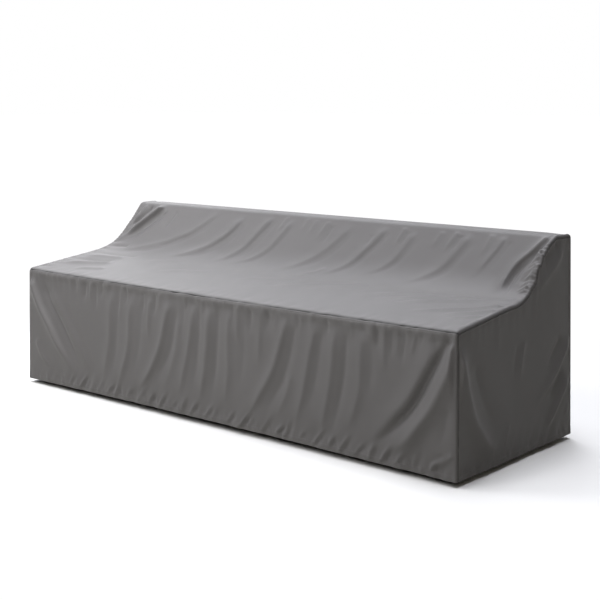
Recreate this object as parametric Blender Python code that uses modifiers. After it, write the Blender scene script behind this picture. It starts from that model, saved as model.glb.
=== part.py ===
"""Fitted cover for a three-seat outdoor sofa, in metres.

Five cut panels of one coated cloth are sewn along rounded edges: a front panel and a back panel, each with
its hem, a top panel that runs from the front edge over the seat, up the slope and across the flat top, and
two end panels.

The frame is Z up, X along the sofa, front towards -Y. The origin is the middle of the underside of the flat
top, where the sofa's backrest carries the cover. Panels are laid out in the cover's own measures first:
`across` from the left end, `back` from the front face and `up` from the hem.
"""

import math
from collections import namedtuple

import bmesh
import bpy
from mathutils import Vector

# Outside sizes of the cover
WIDTH = 2.400
DEPTH = 0.817
FRONT_HEIGHT = 0.519
BACK_HEIGHT = 0.787
FRONT_SAG = 0.003  # the front edge hangs this much lower at mid width

# The section from front to back: the seat rises to a crease, then the cloth climbs the backrest to a flat top
CREASE_BACK = 0.497
CREASE_UP = 0.578
CREASE_RADIUS = 0.190
SLOPE_TOP_BACK = 0.706
SLOPE_TOP_RADIUS = 0.060
EDGE_RADIUS = 0.022

# Cloth and seams
CLOTH = 0.002
SEAM_GAP = 0.0003
END_ROLL = 0.010  # radius of the turn from the long panels round to the ends
END_BAND = 0.004  # seam allowance that lies flat on the end
FOLD_EASE = 0.020  # folds die out over this distance from a seam
HEM_HOLD = 0.45  # share of a fold that is left at the stiff hem
HEM_EASE = 0.060  # height over which the folds come back to their full depth

# The flat top's middle, where the backrest bears
REST_BACK = 0.762
REST_UP = BACK_HEIGHT - CLOTH

# Colours, linear
SIDE_GREY = (0.075, 0.072, 0.068)
TOP_GREY = (0.105, 0.101, 0.096)
CLOTH_ROUGHNESS = 0.62

# Mesh steps
LONG_STEPS = 88
FRONT_STEPS = 8
SEAT_STEPS = 5
CREASE_STEPS = 4
SLOPE_STEPS = 5
SLOPE_TOP_STEPS = 2
STRIP_STEPS = 2
BACK_STEPS = 9
BACK_LONG_STEPS = 50
END_RISE_STEPS = 8
ROLL_STEPS = 3
BEND_SIDE = 1 / 3  # an edge's bend has a flat middle third, and the seam runs along the middle of it

# A fold is a soft ridge, or a dip where its height is negative, along a bowed path from its foot to its head.
# `foot_in` and `head_in` are measured across the panel and `foot_on` and `head_on` up or along it, in metres.
# `bow` bends the path to its right.
Fold = namedtuple("Fold", "foot_in foot_on head_in head_on bow width height")

# Front panel: across from the left end, up from the hem
FRONT_FOLDS = [
    Fold(0.40, 0.05, 0.05, 0.47, -0.028, 0.026, 0.009),
    Fold(0.24, 0.05, 0.07, 0.38, -0.008, 0.030, -0.007),
    Fold(0.45, 0.07, 0.12, 0.47, -0.026, 0.032, -0.006),
    Fold(0.49, 0.06, 0.60, 0.48, 0.018, 0.036, 0.005),
    Fold(0.62, 0.04, 0.68, 0.42, 0.000, 0.040, -0.006),
    Fold(0.72, 0.22, 0.77, 0.49, 0.000, 0.027, 0.005),
    Fold(0.77, 0.04, 0.99, 0.49, 0.020, 0.030, 0.008),
    Fold(0.84, 0.04, 1.01, 0.43, 0.024, 0.032, -0.008),
    Fold(1.02, 0.06, 1.11, 0.49, 0.000, 0.028, 0.006),
    Fold(1.10, 0.04, 1.145, 0.47, 0.008, 0.026, -0.005),
    Fold(1.14, 0.03, 1.21, 0.42, 0.004, 0.026, 0.006),
    Fold(1.22, 0.03, 1.265, 0.46, 0.014, 0.026, -0.009),
    Fold(1.31, 0.04, 1.41, 0.49, 0.004, 0.036, 0.006),
    Fold(1.42, 0.03, 1.62, 0.49, 0.022, 0.030, 0.007),
    Fold(1.49, 0.03, 1.66, 0.46, 0.026, 0.032, -0.008),
    Fold(1.65, 0.05, 1.76, 0.49, 0.010, 0.028, 0.006),
    Fold(1.79, 0.03, 1.88, 0.47, 0.002, 0.027, 0.007),
    Fold(1.86, 0.03, 1.935, 0.47, 0.020, 0.028, -0.008),
    Fold(1.95, 0.05, 2.02, 0.49, 0.006, 0.028, 0.005),
    Fold(1.98, 0.03, 2.34, 0.51, 0.030, 0.030, 0.009),
    Fold(2.08, 0.02, 2.34, 0.48, 0.022, 0.032, -0.016),
    Fold(2.18, 0.03, 2.37, 0.45, 0.020, 0.036, 0.008),
]

# Top panel: across from the left end, along the cloth from the front seam
TOP_FOLDS = [
    Fold(0.06, 0.58, 0.19, 0.77, 0.000, 0.022, 0.007),
    Fold(0.08, 0.52, 0.23, 0.76, 0.026, 0.036, -0.016),
    Fold(0.07, 0.36, 0.30, 0.44, 0.000, 0.024, -0.004),
    Fold(0.07, 0.23, 0.34, 0.33, 0.000, 0.024, -0.004),
    Fold(0.08, 0.44, 0.64, 0.74, 0.035, 0.028, 0.008),
    Fold(0.38, 0.46, 0.64, 0.64, 0.010, 0.034, -0.004),
    Fold(0.47, 0.43, 0.77, 0.77, 0.034, 0.030, 0.009),
    Fold(0.62, 0.44, 0.83, 0.74, 0.010, 0.034, -0.005),
    Fold(0.79, 0.44, 0.95, 0.77, 0.004, 0.028, 0.008),
    Fold(0.86, 0.45, 1.01, 0.74, 0.026, 0.034, -0.005),
    Fold(0.90, 0.43, 1.08, 0.75, 0.034, 0.028, 0.006),
    Fold(1.16, 0.42, 1.43, 0.77, 0.028, 0.030, 0.006),
    Fold(1.26, 0.42, 1.46, 0.72, 0.016, 0.030, -0.005),
    Fold(1.43, 0.45, 1.62, 0.77, 0.006, 0.030, 0.009),
    Fold(1.48, 0.43, 1.68, 0.70, 0.018, 0.032, -0.006),
    Fold(1.50, 0.43, 1.76, 0.75, 0.044, 0.028, 0.006),
    Fold(1.81, 0.43, 2.05, 0.78, 0.032, 0.030, 0.007),
    Fold(1.92, 0.43, 2.11, 0.73, 0.024, 0.034, -0.005),
    Fold(2.16, 0.52, 2.24, 0.77, 0.000, 0.034, -0.009),
    Fold(2.21, 0.45, 2.37, 0.78, -0.014, 0.028, 0.018),
    Fold(2.28, 0.43, 2.36, 0.73, -0.004, 0.024, -0.015),
]

# Swells that follow the end seams up the slope, so that the end panels take them too
TOP_END_SWELLS = [
    Fold(WIDTH, 0.48, WIDTH, 0.78, 0.000, 0.050, 0.026),
    Fold(0.00, 0.44, 0.00, 0.78, 0.000, 0.080, -0.018),
]

# Back panel: across from the left end, up from the hem
BACK_FOLDS = [
    Fold(0.30, 0.05, 0.08, 0.72, -0.030, 0.050, 0.008),
    Fold(0.42, 0.05, 0.30, 0.62, -0.020, 0.050, -0.006),
    Fold(0.75, 0.05, 0.84, 0.58, 0.010, 0.052, -0.007),
    Fold(0.80, 0.46, 0.88, 0.80, 0.000, 0.052, -0.008),
    Fold(0.98, 0.10, 1.02, 0.70, 0.000, 0.048, 0.006),
    Fold(1.22, 0.05, 1.20, 0.62, 0.015, 0.052, -0.007),
    Fold(1.30, 0.42, 1.27, 0.80, 0.000, 0.052, -0.009),
    Fold(1.46, 0.12, 1.42, 0.70, 0.000, 0.048, 0.006),
    Fold(1.64, 0.48, 1.60, 0.80, 0.000, 0.052, -0.008),
    Fold(1.70, 0.05, 1.62, 0.60, -0.010, 0.052, -0.007),
    Fold(1.98, 0.08, 2.12, 0.62, 0.020, 0.050, -0.006),
    Fold(2.08, 0.05, 2.31, 0.72, 0.030, 0.050, 0.008),
]

# End panels: back from the front face, up from the hem
RIGHT_END_FOLDS = [
    Fold(0.29, 0.05, 0.03, 0.48, -0.050, 0.030, 0.009),
    Fold(0.16, 0.04, 0.04, 0.30, -0.010, 0.034, -0.004),
    Fold(0.38, 0.22, 0.45, 0.44, 0.010, 0.030, 0.004),
    Fold(0.60, 0.18, 0.80, 0.40, 0.000, 0.024, 0.008),
    Fold(0.60, 0.23, 0.79, 0.46, 0.000, 0.030, -0.005),
    Fold(0.61, 0.06, 0.80, 0.24, 0.000, 0.024, 0.008),
    Fold(0.55, 0.58, 0.76, 0.75, 0.026, 0.026, 0.007),
]

LEFT_END_FOLDS = [
    Fold(0.26, 0.05, 0.03, 0.46, -0.040, 0.032, 0.008),
    Fold(0.44, 0.10, 0.50, 0.45, 0.010, 0.040, -0.005),
    Fold(0.58, 0.14, 0.79, 0.42, 0.012, 0.030, 0.008),
    Fold(0.54, 0.55, 0.76, 0.72, 0.026, 0.030, 0.006),
]

Row = namedtuple("Row", "place normal along")


def smooth_step(distance, ease):
    """0 at no distance, 1 from `ease` on, and level at both ends."""
    share = min(max(distance / ease, 0.0), 1.0)
    return share * share * (3 - 2 * share)


def fold_height(fold, across, along):
    """Height of one fold at a place: a bell across its bowed path that dies out at its foot and its head."""
    run = Vector((fold.head_in - fold.foot_in, fold.head_on - fold.foot_on))
    step = Vector((across - fold.foot_in, along - fold.foot_on))
    progress = step.dot(run) / run.length_squared
    if not 0 < progress < 1:
        return 0.0
    side = (step.x * run.y - step.y * run.x) / run.length
    offset = side - 4 * fold.bow * progress * (1 - progress)
    taper = (1 - (2 * progress - 1) ** 4) ** 2
    return fold.height * math.exp(-((offset / fold.width) ** 2)) * taper


def relief(folds, across, along):
    """Height of all of a panel's folds at a place."""
    return sum(fold_height(fold, across, along) for fold in folds)


def left_normal(heading):
    """The outward side of a heading, for a section drawn up the front, over the top and down the back."""
    return Vector((-heading.y, heading.x)).normalized()


class Bend:
    """A rounded corner of the section."""

    def __init__(self, before, corner, after, radius):
        heading_in = (corner - before).normalized()
        heading_out = (after - corner).normalized()
        self.turn = math.atan2(heading_in.cross(heading_out), heading_in.dot(heading_out))
        reach = radius * math.tan(abs(self.turn) / 2)
        self.start = corner - heading_in * reach
        self.end = corner + heading_out * reach
        self.normal = left_normal(heading_in)
        self.radius = -math.copysign(radius, self.turn)

    def at(self, share):
        """(place, normal) this share of the way round."""
        angle = self.turn * share
        normal = Vector(
            (
                self.normal.x * math.cos(angle) - self.normal.y * math.sin(angle),
                self.normal.x * math.sin(angle) + self.normal.y * math.cos(angle),
            )
        )
        return self.start + (normal - self.normal) * self.radius, normal

    def steps(self, count):
        """Places round the bend, after its start."""
        return [self.at(n / count) for n in range(1, count + 1)]

    def seam(self, gap):
        """The seam's place, on the flat of the bend's middle third, `gap` further along."""
        first, normal_in = self.at(BEND_SIDE)
        second, normal_out = self.at(1 - BEND_SIDE)
        middle = (first + second) / 2 + (second - first).normalized() * gap
        return middle, (normal_in + normal_out).normalized()


def straight(start, end, count):
    """Places along a straight run, after its start."""
    normal = left_normal(end - start)
    return [(start.lerp(end, n / count), normal) for n in range(1, count + 1)]


def with_distance(places):
    """Rows that also hold how far along the cloth each one lies."""
    rows = []
    along = 0.0
    for place, normal in places:
        if rows:
            along += (place - rows[-1].place).length
        rows.append(Row(place, normal, along))
    return rows


def section(across):
    """The rows of the front, top and back panels in the section at one place across the cover."""
    sag = FRONT_SAG * math.sin(math.pi * min(max(across / WIDTH, 0.0), 1.0))
    corners = [
        Vector((0.0, 0.0)),
        Vector((0.0, FRONT_HEIGHT - sag)),
        Vector((CREASE_BACK, CREASE_UP)),
        Vector((SLOPE_TOP_BACK, BACK_HEIGHT)),
        Vector((DEPTH, BACK_HEIGHT)),
        Vector((DEPTH, 0.0)),
    ]
    radii = [EDGE_RADIUS, CREASE_RADIUS, SLOPE_TOP_RADIUS, EDGE_RADIUS]
    front_edge, crease, slope_top, back_edge = [
        Bend(corners[n], corners[n + 1], corners[n + 2], radius) for n, radius in enumerate(radii)
    ]
    half_gap = SEAM_GAP / 2
    front = [(corners[0], front_edge.normal)]
    front += straight(corners[0], front_edge.start, FRONT_STEPS)
    front += [front_edge.at(BEND_SIDE), front_edge.seam(-half_gap)]
    top = [front_edge.seam(half_gap), front_edge.at(1 - BEND_SIDE), front_edge.at(1)]
    top += straight(front_edge.end, crease.start, SEAT_STEPS)
    top += crease.steps(CREASE_STEPS)
    top += straight(crease.end, slope_top.start, SLOPE_STEPS)
    top += slope_top.steps(SLOPE_TOP_STEPS)
    top += straight(slope_top.end, back_edge.start, STRIP_STEPS)
    top += [back_edge.at(BEND_SIDE), back_edge.seam(-half_gap)]
    back = [back_edge.seam(half_gap), back_edge.at(1 - BEND_SIDE), back_edge.at(1)]
    back += straight(back_edge.end, corners[5], BACK_STEPS)
    return with_distance(front), with_distance(top), with_distance(back)


def columns(count):
    """(across, inset) from end to end: `inset` is how far the rolled ends turn in from the section."""
    roll = [(0.0, END_ROLL + END_BAND)]
    for n in range(ROLL_STEPS):
        angle = math.radians(90) * (1 - n / ROLL_STEPS)
        roll.append((END_ROLL * (1 - math.sin(angle)), END_ROLL * (1 - math.cos(angle))))
    flat = WIDTH - 2 * END_ROLL
    middle = [(END_ROLL + flat * n / count, 0.0) for n in range(count + 1)]
    return roll + middle + [(WIDTH - across, inset) for across, inset in reversed(roll)]


def to_frame(across, place):
    """A place on a section, in the cover's frame."""
    return Vector((across - WIDTH / 2, place.x - REST_BACK, place.y - REST_UP))


def end_fade(across):
    """Folds die out towards the rolled ends."""
    return smooth_step(min(across, WIDTH - across) - END_ROLL, FOLD_EASE)


def front_relief(across, row):
    """Height of the front panel's folds, less at its hem and none at its seams."""
    up = row.place.y
    hold = HEM_HOLD + (1 - HEM_HOLD) * smooth_step(up, HEM_EASE)
    fade = smooth_step(FRONT_HEIGHT - EDGE_RADIUS - up, FOLD_EASE)
    return relief(FRONT_FOLDS, across, up) * hold * fade * end_fade(across)


def top_relief(across, row):
    """Height of the top panel's folds, with the swells that reach its end seams."""
    folds = relief(TOP_FOLDS, across, row.along) * end_fade(across)
    return folds + relief(TOP_END_SWELLS, across, row.along)


def back_relief(across, row):
    """Height of the back panel's folds, less at its hem and none at its seams."""
    up = row.place.y
    hold = HEM_HOLD + (1 - HEM_HOLD) * smooth_step(up, HEM_EASE)
    fade = smooth_step(BACK_HEIGHT - EDGE_RADIUS - up, FOLD_EASE)
    return relief(BACK_FOLDS, across, up) * hold * fade * end_fade(across)


def long_places(rows_of, folds, count):
    """Frame places of a panel that runs from end to end, as a list of columns."""
    places = []
    for across, inset in columns(count):
        rows = rows_of(across)
        places.append(
            [to_frame(across, row.place + row.normal * (folds(across, row) - inset)) for row in rows]
        )
    return places


def end_places(across, folds):
    """Frame places of an end panel, as a list of columns from front to back."""
    inset = END_ROLL + END_BAND + SEAM_GAP
    outward = 1 if across > WIDTH / 2 else -1
    front, top, back = section(across)
    outline = [row.place - row.normal * inset for row in front[FRONT_STEPS:-1]]
    outline += [row.place + row.normal * (top_relief(across, row) - inset) for row in top]
    outline += [row.place - row.normal * inset for row in back[1:3]]
    lowest, highest = outline[0].x, outline[-1].x
    places = []
    for edge in outline:
        column = []
        for n in range(END_RISE_STEPS + 1):
            up = edge.y * n / END_RISE_STEPS
            room = min(edge.x - lowest, highest - edge.x, edge.y - up)
            hold = HEM_HOLD + (1 - HEM_HOLD) * smooth_step(up, HEM_EASE)
            height = relief(folds, edge.x, up) * hold * smooth_step(room, FOLD_EASE)
            column.append(to_frame(across + outward * height, Vector((edge.x, up))))
        places.append(column)
    return places


def cloth_material(name, colour):
    """One panel's cloth."""
    material = bpy.data.materials.new(name)
    material.use_nodes = True
    shader = material.node_tree.nodes["Principled BSDF"]
    shader.inputs["Base Color"].default_value = (*colour, 1.0)
    shader.inputs["Roughness"].default_value = CLOTH_ROUGHNESS
    shader.inputs["Metallic"].default_value = 0.0
    return material


def add_panel(name, places, material, collection):
    """A grid shaped to a panel's places and given the cloth's thickness towards the inside."""
    last_column = len(places) - 1
    last_row = len(places[0]) - 1
    shape = bmesh.new()
    bmesh.ops.create_grid(shape, x_segments=last_column, y_segments=last_row, size=1.0)
    for vert in shape.verts:
        column = round((vert.co.x + 1) / 2 * last_column)
        row = round((vert.co.y + 1) / 2 * last_row)
        vert.co = places[column][row]
    mesh = bpy.data.meshes.new(name)
    shape.to_mesh(mesh)
    shape.free()
    mesh.shade_smooth()
    mesh.materials.append(material)
    panel = bpy.data.objects.new(name, mesh)
    collection.objects.link(panel)
    thickness = panel.modifiers.new("cloth_thickness", "SOLIDIFY")
    thickness.thickness = CLOTH
    thickness.offset = -1.0
    thickness.use_even_offset = True
    return panel


def clear_scene():
    """Removes what the scene starts with."""
    for old in list(bpy.data.objects):
        bpy.data.objects.remove(old, do_unlink=True)


def main():
    """Makes the cover's five panels."""
    clear_scene()
    cover = bpy.data.collections.new("outdoor_sofa_cover")
    bpy.context.scene.collection.children.link(cover)
    panels = {
        "front_panel": (long_places(lambda x: section(x)[0], front_relief, LONG_STEPS), SIDE_GREY),
        "top_panel": (long_places(lambda x: section(x)[1], top_relief, LONG_STEPS), TOP_GREY),
        "back_panel": (long_places(lambda x: section(x)[2], back_relief, BACK_LONG_STEPS), SIDE_GREY),
        "right_end_panel": (end_places(WIDTH, RIGHT_END_FOLDS), SIDE_GREY),
        "left_end_panel": (end_places(0.0, LEFT_END_FOLDS)[::-1], SIDE_GREY),
    }
    for name, (places, colour) in panels.items():
        add_panel(name, places, cloth_material(name + "_cloth", colour), cover)


main()
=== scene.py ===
"""Looks of a fitted outdoor sofa cover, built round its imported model, in metres.

The cover is five cut panels of one coated cloth. Each panel's solid is replaced by a fine sheet of the same cut,
with the solid's folds, the smaller creases and puckers that it leaves out, turned hems and sewn edges. Places are
worked out in the cover's own measures first, as its solids are: `across` from the left end, `back` from the front
face and `up` from the hem.
"""

import logging
import math
from abc import ABC, abstractmethod
from collections.abc import Callable, Sequence
from dataclasses import dataclass, field
from enum import Enum

import bmesh
import bpy
import numpy as np
from mathutils import Matrix, Vector, noise


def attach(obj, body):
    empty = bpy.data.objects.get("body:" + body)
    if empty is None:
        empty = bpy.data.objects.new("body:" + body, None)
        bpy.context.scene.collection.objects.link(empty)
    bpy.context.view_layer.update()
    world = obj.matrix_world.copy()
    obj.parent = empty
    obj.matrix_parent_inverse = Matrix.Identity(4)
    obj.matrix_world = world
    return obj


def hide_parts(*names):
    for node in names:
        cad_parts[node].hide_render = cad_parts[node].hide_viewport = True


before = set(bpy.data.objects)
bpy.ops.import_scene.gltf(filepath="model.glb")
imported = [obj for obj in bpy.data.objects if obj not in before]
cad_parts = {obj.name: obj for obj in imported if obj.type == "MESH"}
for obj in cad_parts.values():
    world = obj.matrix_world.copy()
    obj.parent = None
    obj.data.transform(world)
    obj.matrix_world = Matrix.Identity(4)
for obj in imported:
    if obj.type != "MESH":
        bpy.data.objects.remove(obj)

Array = np.ndarray
LOG = logging.getLogger("sofa_cover")


# ---------------------------------------------------------------------------------------------- sizes


@dataclass(frozen=True)
class CoverSize:
    """Outside sizes of the cover, which are its solids', and of its bends and rolled edges."""

    width: float = 2.400
    depth: float = 0.817
    front_height: float = 0.519
    back_height: float = 0.787
    front_sag: float = 0.006
    hem_rise: float = 0.006
    crease_back: float = 0.497
    crease_up: float = 0.578
    crease_radius: float = 0.300
    slope_top_back: float = 0.706
    slope_top_radius: float = 0.036
    edge_radius: float = 0.022
    end_roll: float = 0.008
    end_band: float = 0.003
    fold_ease: float = 0.012
    hem_hold: float = 0.45
    hem_ease: float = 0.060
    solid_cloth: float = 0.002
    rest_back: float = 0.762

    @property
    def rest_up(self) -> float:
        """Height of the frame's origin over the hem."""
        return self.back_height - self.solid_cloth

    @property
    def end_inset(self) -> float:
        """How far the long panels' ends turn in from the outline."""
        return self.end_roll + self.end_band

    def to_frame(self, across: Array, back: Array, up: Array) -> Array:
        """Places in the cover's measures as places in the frame."""
        return np.stack([across - self.width / 2, back - self.rest_back, up - self.rest_up], axis=-1)


@dataclass(frozen=True)
class SewingSize:
    """Sizes of the cloth, its hems and its seams."""

    cloth: float = 0.0009
    seam_gap: float = 0.0003
    lip: float = 0.0020  # radius at which an edge turns in to its seam
    allowance: float = 0.007  # cloth that stands inside, behind the seam
    welt: float = 0.0010  # how far the double cloth beside a seam stands proud
    welt_width: float = 0.0095
    stitch_from_seam: float = 0.0082
    groove: float = 0.0009
    groove_width: float = 0.0011
    tuck: float = 0.0046  # how far the front draws in under its seam
    hem_welt: float = 0.0006
    hem_groove_width: float = 0.00154
    hem_turn: float = 0.026
    hem_stitch_up: float = 0.021
    hem_radius: float = 0.0012


COVER = CoverSize()
SEWING = SewingSize()


class End(Enum):
    """The two ends of the cover, with the way that each one faces along X."""

    LEFT = -1
    RIGHT = 1

    @property
    def across(self) -> float:
        """Where the end lies, from the left end."""
        return COVER.width if self is End.RIGHT else 0.0


# ---------------------------------------------------------------------------------------------- folds


def smooth_step(distance: Array, ease: float) -> Array:
    """0 at no distance, 1 from `ease` on, and level at both ends."""
    share = np.clip(distance / ease, 0.0, 1.0)
    return share * share * (3 - 2 * share)


def bell(distance: Array, width: float) -> Array:
    """1 at no distance, falling to about a third at `width`."""
    return np.exp(-((distance / width) ** 2))


def cloth_noise(across: Array, along: Array, grain_in: float, grain_on: float, layer: float) -> Array:
    """Smooth noise over a panel, the same each run.

    Args:
        across: Places across the panel.
        along: Places along the panel, in an array of the same shape.
        grain_in: Size of a bump across.
        grain_on: Size of a bump along.
        layer: Picks one of many patterns.

    Returns:
        Heights from about -1 to 1, in the shape of `across`.
    """
    pairs = zip(across.ravel() / grain_in, along.ravel() / grain_on)
    heights = [noise.noise(Vector((x, y, layer))) for x, y in pairs]
    return np.array(heights).reshape(across.shape)


CURVE_STEPS = 6  # places along each stretch of a fold's path, once its corners are rounded
CREST_SHARE = 0.22  # share of a fold's height that lies in its narrow crest
CREST_WIDTH = 0.45  # width of that crest, to the fold's own


@dataclass(frozen=True)
class Fold:
    """A soft ridge, or a trough where its height is negative, that follows a path from its head to its foot.

    The height falls to a third at `width` to each side. `lean` makes the right or lower flank the steeper one, and
    the fades are the shares of the path over which the fold rises at its head and dies out at its foot.
    """

    path: tuple[tuple[float, float], ...]
    height: float
    width: float
    lean: float = 0.0
    head_fade: float = 0.15
    foot_fade: float = 0.45

    def curve(self) -> Array:
        """Rounds the corners of the path.

        Returns:
            Places along it, one a row, from its head to its foot.
        """
        points = np.array(self.path)
        if len(points) > 2:
            before, after = 2 * points[0] - points[1], 2 * points[-1] - points[-2]
            held = np.vstack([before, points, after])
            t = np.linspace(0, 1, CURVE_STEPS, endpoint=False)[:, None]
            spans = []
            for p0, p1, p2, p3 in zip(held, held[1:], held[2:], held[3:]):
                bend = (2 * p0 - 5 * p1 + 4 * p2 - p3) * t**2 + (3 * p1 - p0 - 3 * p2 + p3) * t**3
                spans.append((2 * p1 + (p2 - p0) * t + bend) / 2)
            points = np.vstack(spans + [points[-1:]])
        return points

    def relief(self, across: Array, along: Array) -> Array:
        """Works out the fold's height.

        Args:
            across: Places across the panel.
            along: Places along the panel, in an array of the same shape.

        Returns:
            Heights there.
        """
        points = self.curve()
        runs = np.diff(points, axis=0)
        lengths = np.linalg.norm(runs, axis=1)
        starts = np.r_[0, np.cumsum(lengths)]
        low, high = points.min(0) - 3 * self.width, points.max(0) + 3 * self.width
        near = (across > low[0]) & (across < high[0]) & (along > low[1]) & (along < high[1])
        x, y = across[near], along[near]
        closest = np.full(x.shape, np.inf)
        offset, progress = np.zeros(x.shape), np.zeros(x.shape)
        for start, (foot_x, foot_y), (run_x, run_y), length in zip(starts, points, runs, lengths):
            step_x, step_y = x - foot_x, y - foot_y
            share = np.clip((step_x * run_x + step_y * run_y) / length**2, 0, 1)
            distance = np.hypot(step_x - share * run_x, step_y - share * run_y)
            here = distance < closest
            closest = np.where(here, distance, closest)
            right = np.sign(step_y * run_x - step_x * run_y)
            offset = np.where(here, distance * right, offset)
            progress = np.where(here, (start + share * length) / starts[-1], progress)
        width = self.width * (1 - self.lean * np.tanh(2 * offset / self.width))
        ends = smooth_step(progress, self.head_fade) * smooth_step(1 - progress, self.foot_fade)
        crest = CREST_SHARE * bell(offset, CREST_WIDTH * width)
        heights = np.zeros(across.shape)
        heights[near] = self.height * ((1 - CREST_SHARE) * bell(offset, width) + crest) * ends
        return heights


def folds_relief(folds: Sequence[Fold], across: Array, along: Array) -> Array:
    """Height of all of these folds at each place."""
    return sum(fold.relief(across, along) for fold in folds)


# Front panel: across from the left end, up from the hem
FRONT_FOLDS = (
    Fold(((0.012, 0.485), (0.058, 0.40), (0.132, 0.30), (0.222, 0.19), (0.31, 0.10), (0.385, 0.045)),
         0.0185, 0.027, lean=0.3, head_fade=0.09),
    Fold(((0.10, 0.47), (0.17, 0.36), (0.262, 0.25), (0.355, 0.14), (0.43, 0.06)), -0.0115, 0.026),
    Fold(((0.17, 0.45), (0.24, 0.35), (0.33, 0.24), (0.42, 0.13), (0.49, 0.05)), 0.0085, 0.030, lean=0.2),
    Fold(((0.59, 0.48), (0.59, 0.36), (0.58, 0.24), (0.555, 0.12), (0.53, 0.04)),
         0.0061, 0.026, lean=0.2, foot_fade=0.3),
    Fold(((0.64, 0.47), (0.63, 0.33), (0.61, 0.18), (0.58, 0.06)), -0.0051, 0.025),
    Fold(((0.725, 0.48), (0.72, 0.36), (0.705, 0.22), (0.67, 0.12), (0.635, 0.03)),
         0.0079, 0.024, lean=0.2, foot_fade=0.3),
    Fold(((0.79, 0.46), (0.785, 0.35), (0.765, 0.22), (0.73, 0.09)), -0.0041, 0.022),
    Fold(((0.975, 0.50), (0.95, 0.39), (0.915, 0.28), (0.865, 0.175), (0.80, 0.09), (0.74, 0.035)),
         0.0102, 0.024, lean=0.2, foot_fade=0.3),
    Fold(((1.01, 0.47), (0.995, 0.36), (0.965, 0.25), (0.91, 0.15), (0.845, 0.055)), -0.0072, 0.025),
    Fold(((1.035, 0.42), (1.015, 0.28), (0.975, 0.16), (0.90, 0.05)), 0.0047, 0.023),
    Fold(((1.115, 0.49), (1.10, 0.37), (1.08, 0.25), (1.045, 0.13), (1.01, 0.04)),
         0.0072, 0.022, lean=0.2, foot_fade=0.35),
    Fold(((1.145, 0.48), (1.14, 0.35), (1.125, 0.20), (1.09, 0.07)), -0.0061, 0.020),
    Fold(((1.20, 0.48), (1.195, 0.33), (1.175, 0.18), (1.14, 0.04)), 0.0082, 0.024, lean=0.2, foot_fade=0.3),
    Fold(((1.245, 0.49), (1.245, 0.34), (1.23, 0.18), (1.20, 0.05)), -0.0085, 0.022),
    Fold(((1.315, 0.49), (1.315, 0.34), (1.315, 0.20), (1.285, 0.05)), 0.0071, 0.025, lean=0.1, foot_fade=0.35),
    Fold(((1.40, 0.47), (1.395, 0.32), (1.37, 0.12)), -0.0033, 0.022),
    Fold(((1.625, 0.50), (1.60, 0.39), (1.57, 0.30), (1.525, 0.21), (1.465, 0.12), (1.40, 0.035)),
         0.0094, 0.024, lean=0.2, foot_fade=0.3),
    Fold(((1.67, 0.48), (1.645, 0.36), (1.61, 0.25), (1.555, 0.15), (1.485, 0.045)), -0.0075, 0.023),
    Fold(((1.65, 0.27), (1.62, 0.17), (1.56, 0.06)), 0.0043, 0.019),
    Fold(((1.765, 0.49), (1.75, 0.38), (1.725, 0.27), (1.70, 0.16), (1.655, 0.05)),
         0.0066, 0.023, lean=0.2, foot_fade=0.3),
    Fold(((1.80, 0.47), (1.785, 0.34), (1.76, 0.22), (1.715, 0.09)), -0.0047, 0.022),
    Fold(((1.86, 0.49), (1.855, 0.35), (1.835, 0.23), (1.81, 0.12), (1.78, 0.035)),
         0.0075, 0.025, lean=0.2, foot_fade=0.3),
    Fold(((1.915, 0.49), (1.91, 0.36), (1.89, 0.22), (1.855, 0.10), (1.83, 0.03)), -0.0075, 0.020),
    Fold(((1.99, 0.48), (1.985, 0.33), (1.965, 0.20), (1.91, 0.07)), 0.0062, 0.027, lean=0.2, foot_fade=0.3),
    Fold(((2.035, 0.46), (2.035, 0.33), (2.01, 0.20)), -0.0038, 0.022),
    Fold(((2.345, 0.485), (2.288, 0.39), (2.228, 0.295), (2.163, 0.205), (2.083, 0.125), (1.973, 0.045)),
         0.0095, 0.030, lean=0.45),
    Fold(((2.378, 0.505), (2.323, 0.41), (2.266, 0.305), (2.200, 0.21), (2.122, 0.13), (2.03, 0.05)),
         -0.0150, 0.022, head_fade=0.08, foot_fade=0.35),
    Fold(((2.40, 0.49), (2.384, 0.40), (2.350, 0.32), (2.302, 0.235),
          (2.242, 0.16), (2.172, 0.09), (2.09, 0.04)),
         0.0195, 0.034, lean=0.1, head_fade=0.07, foot_fade=0.3),
)

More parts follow.
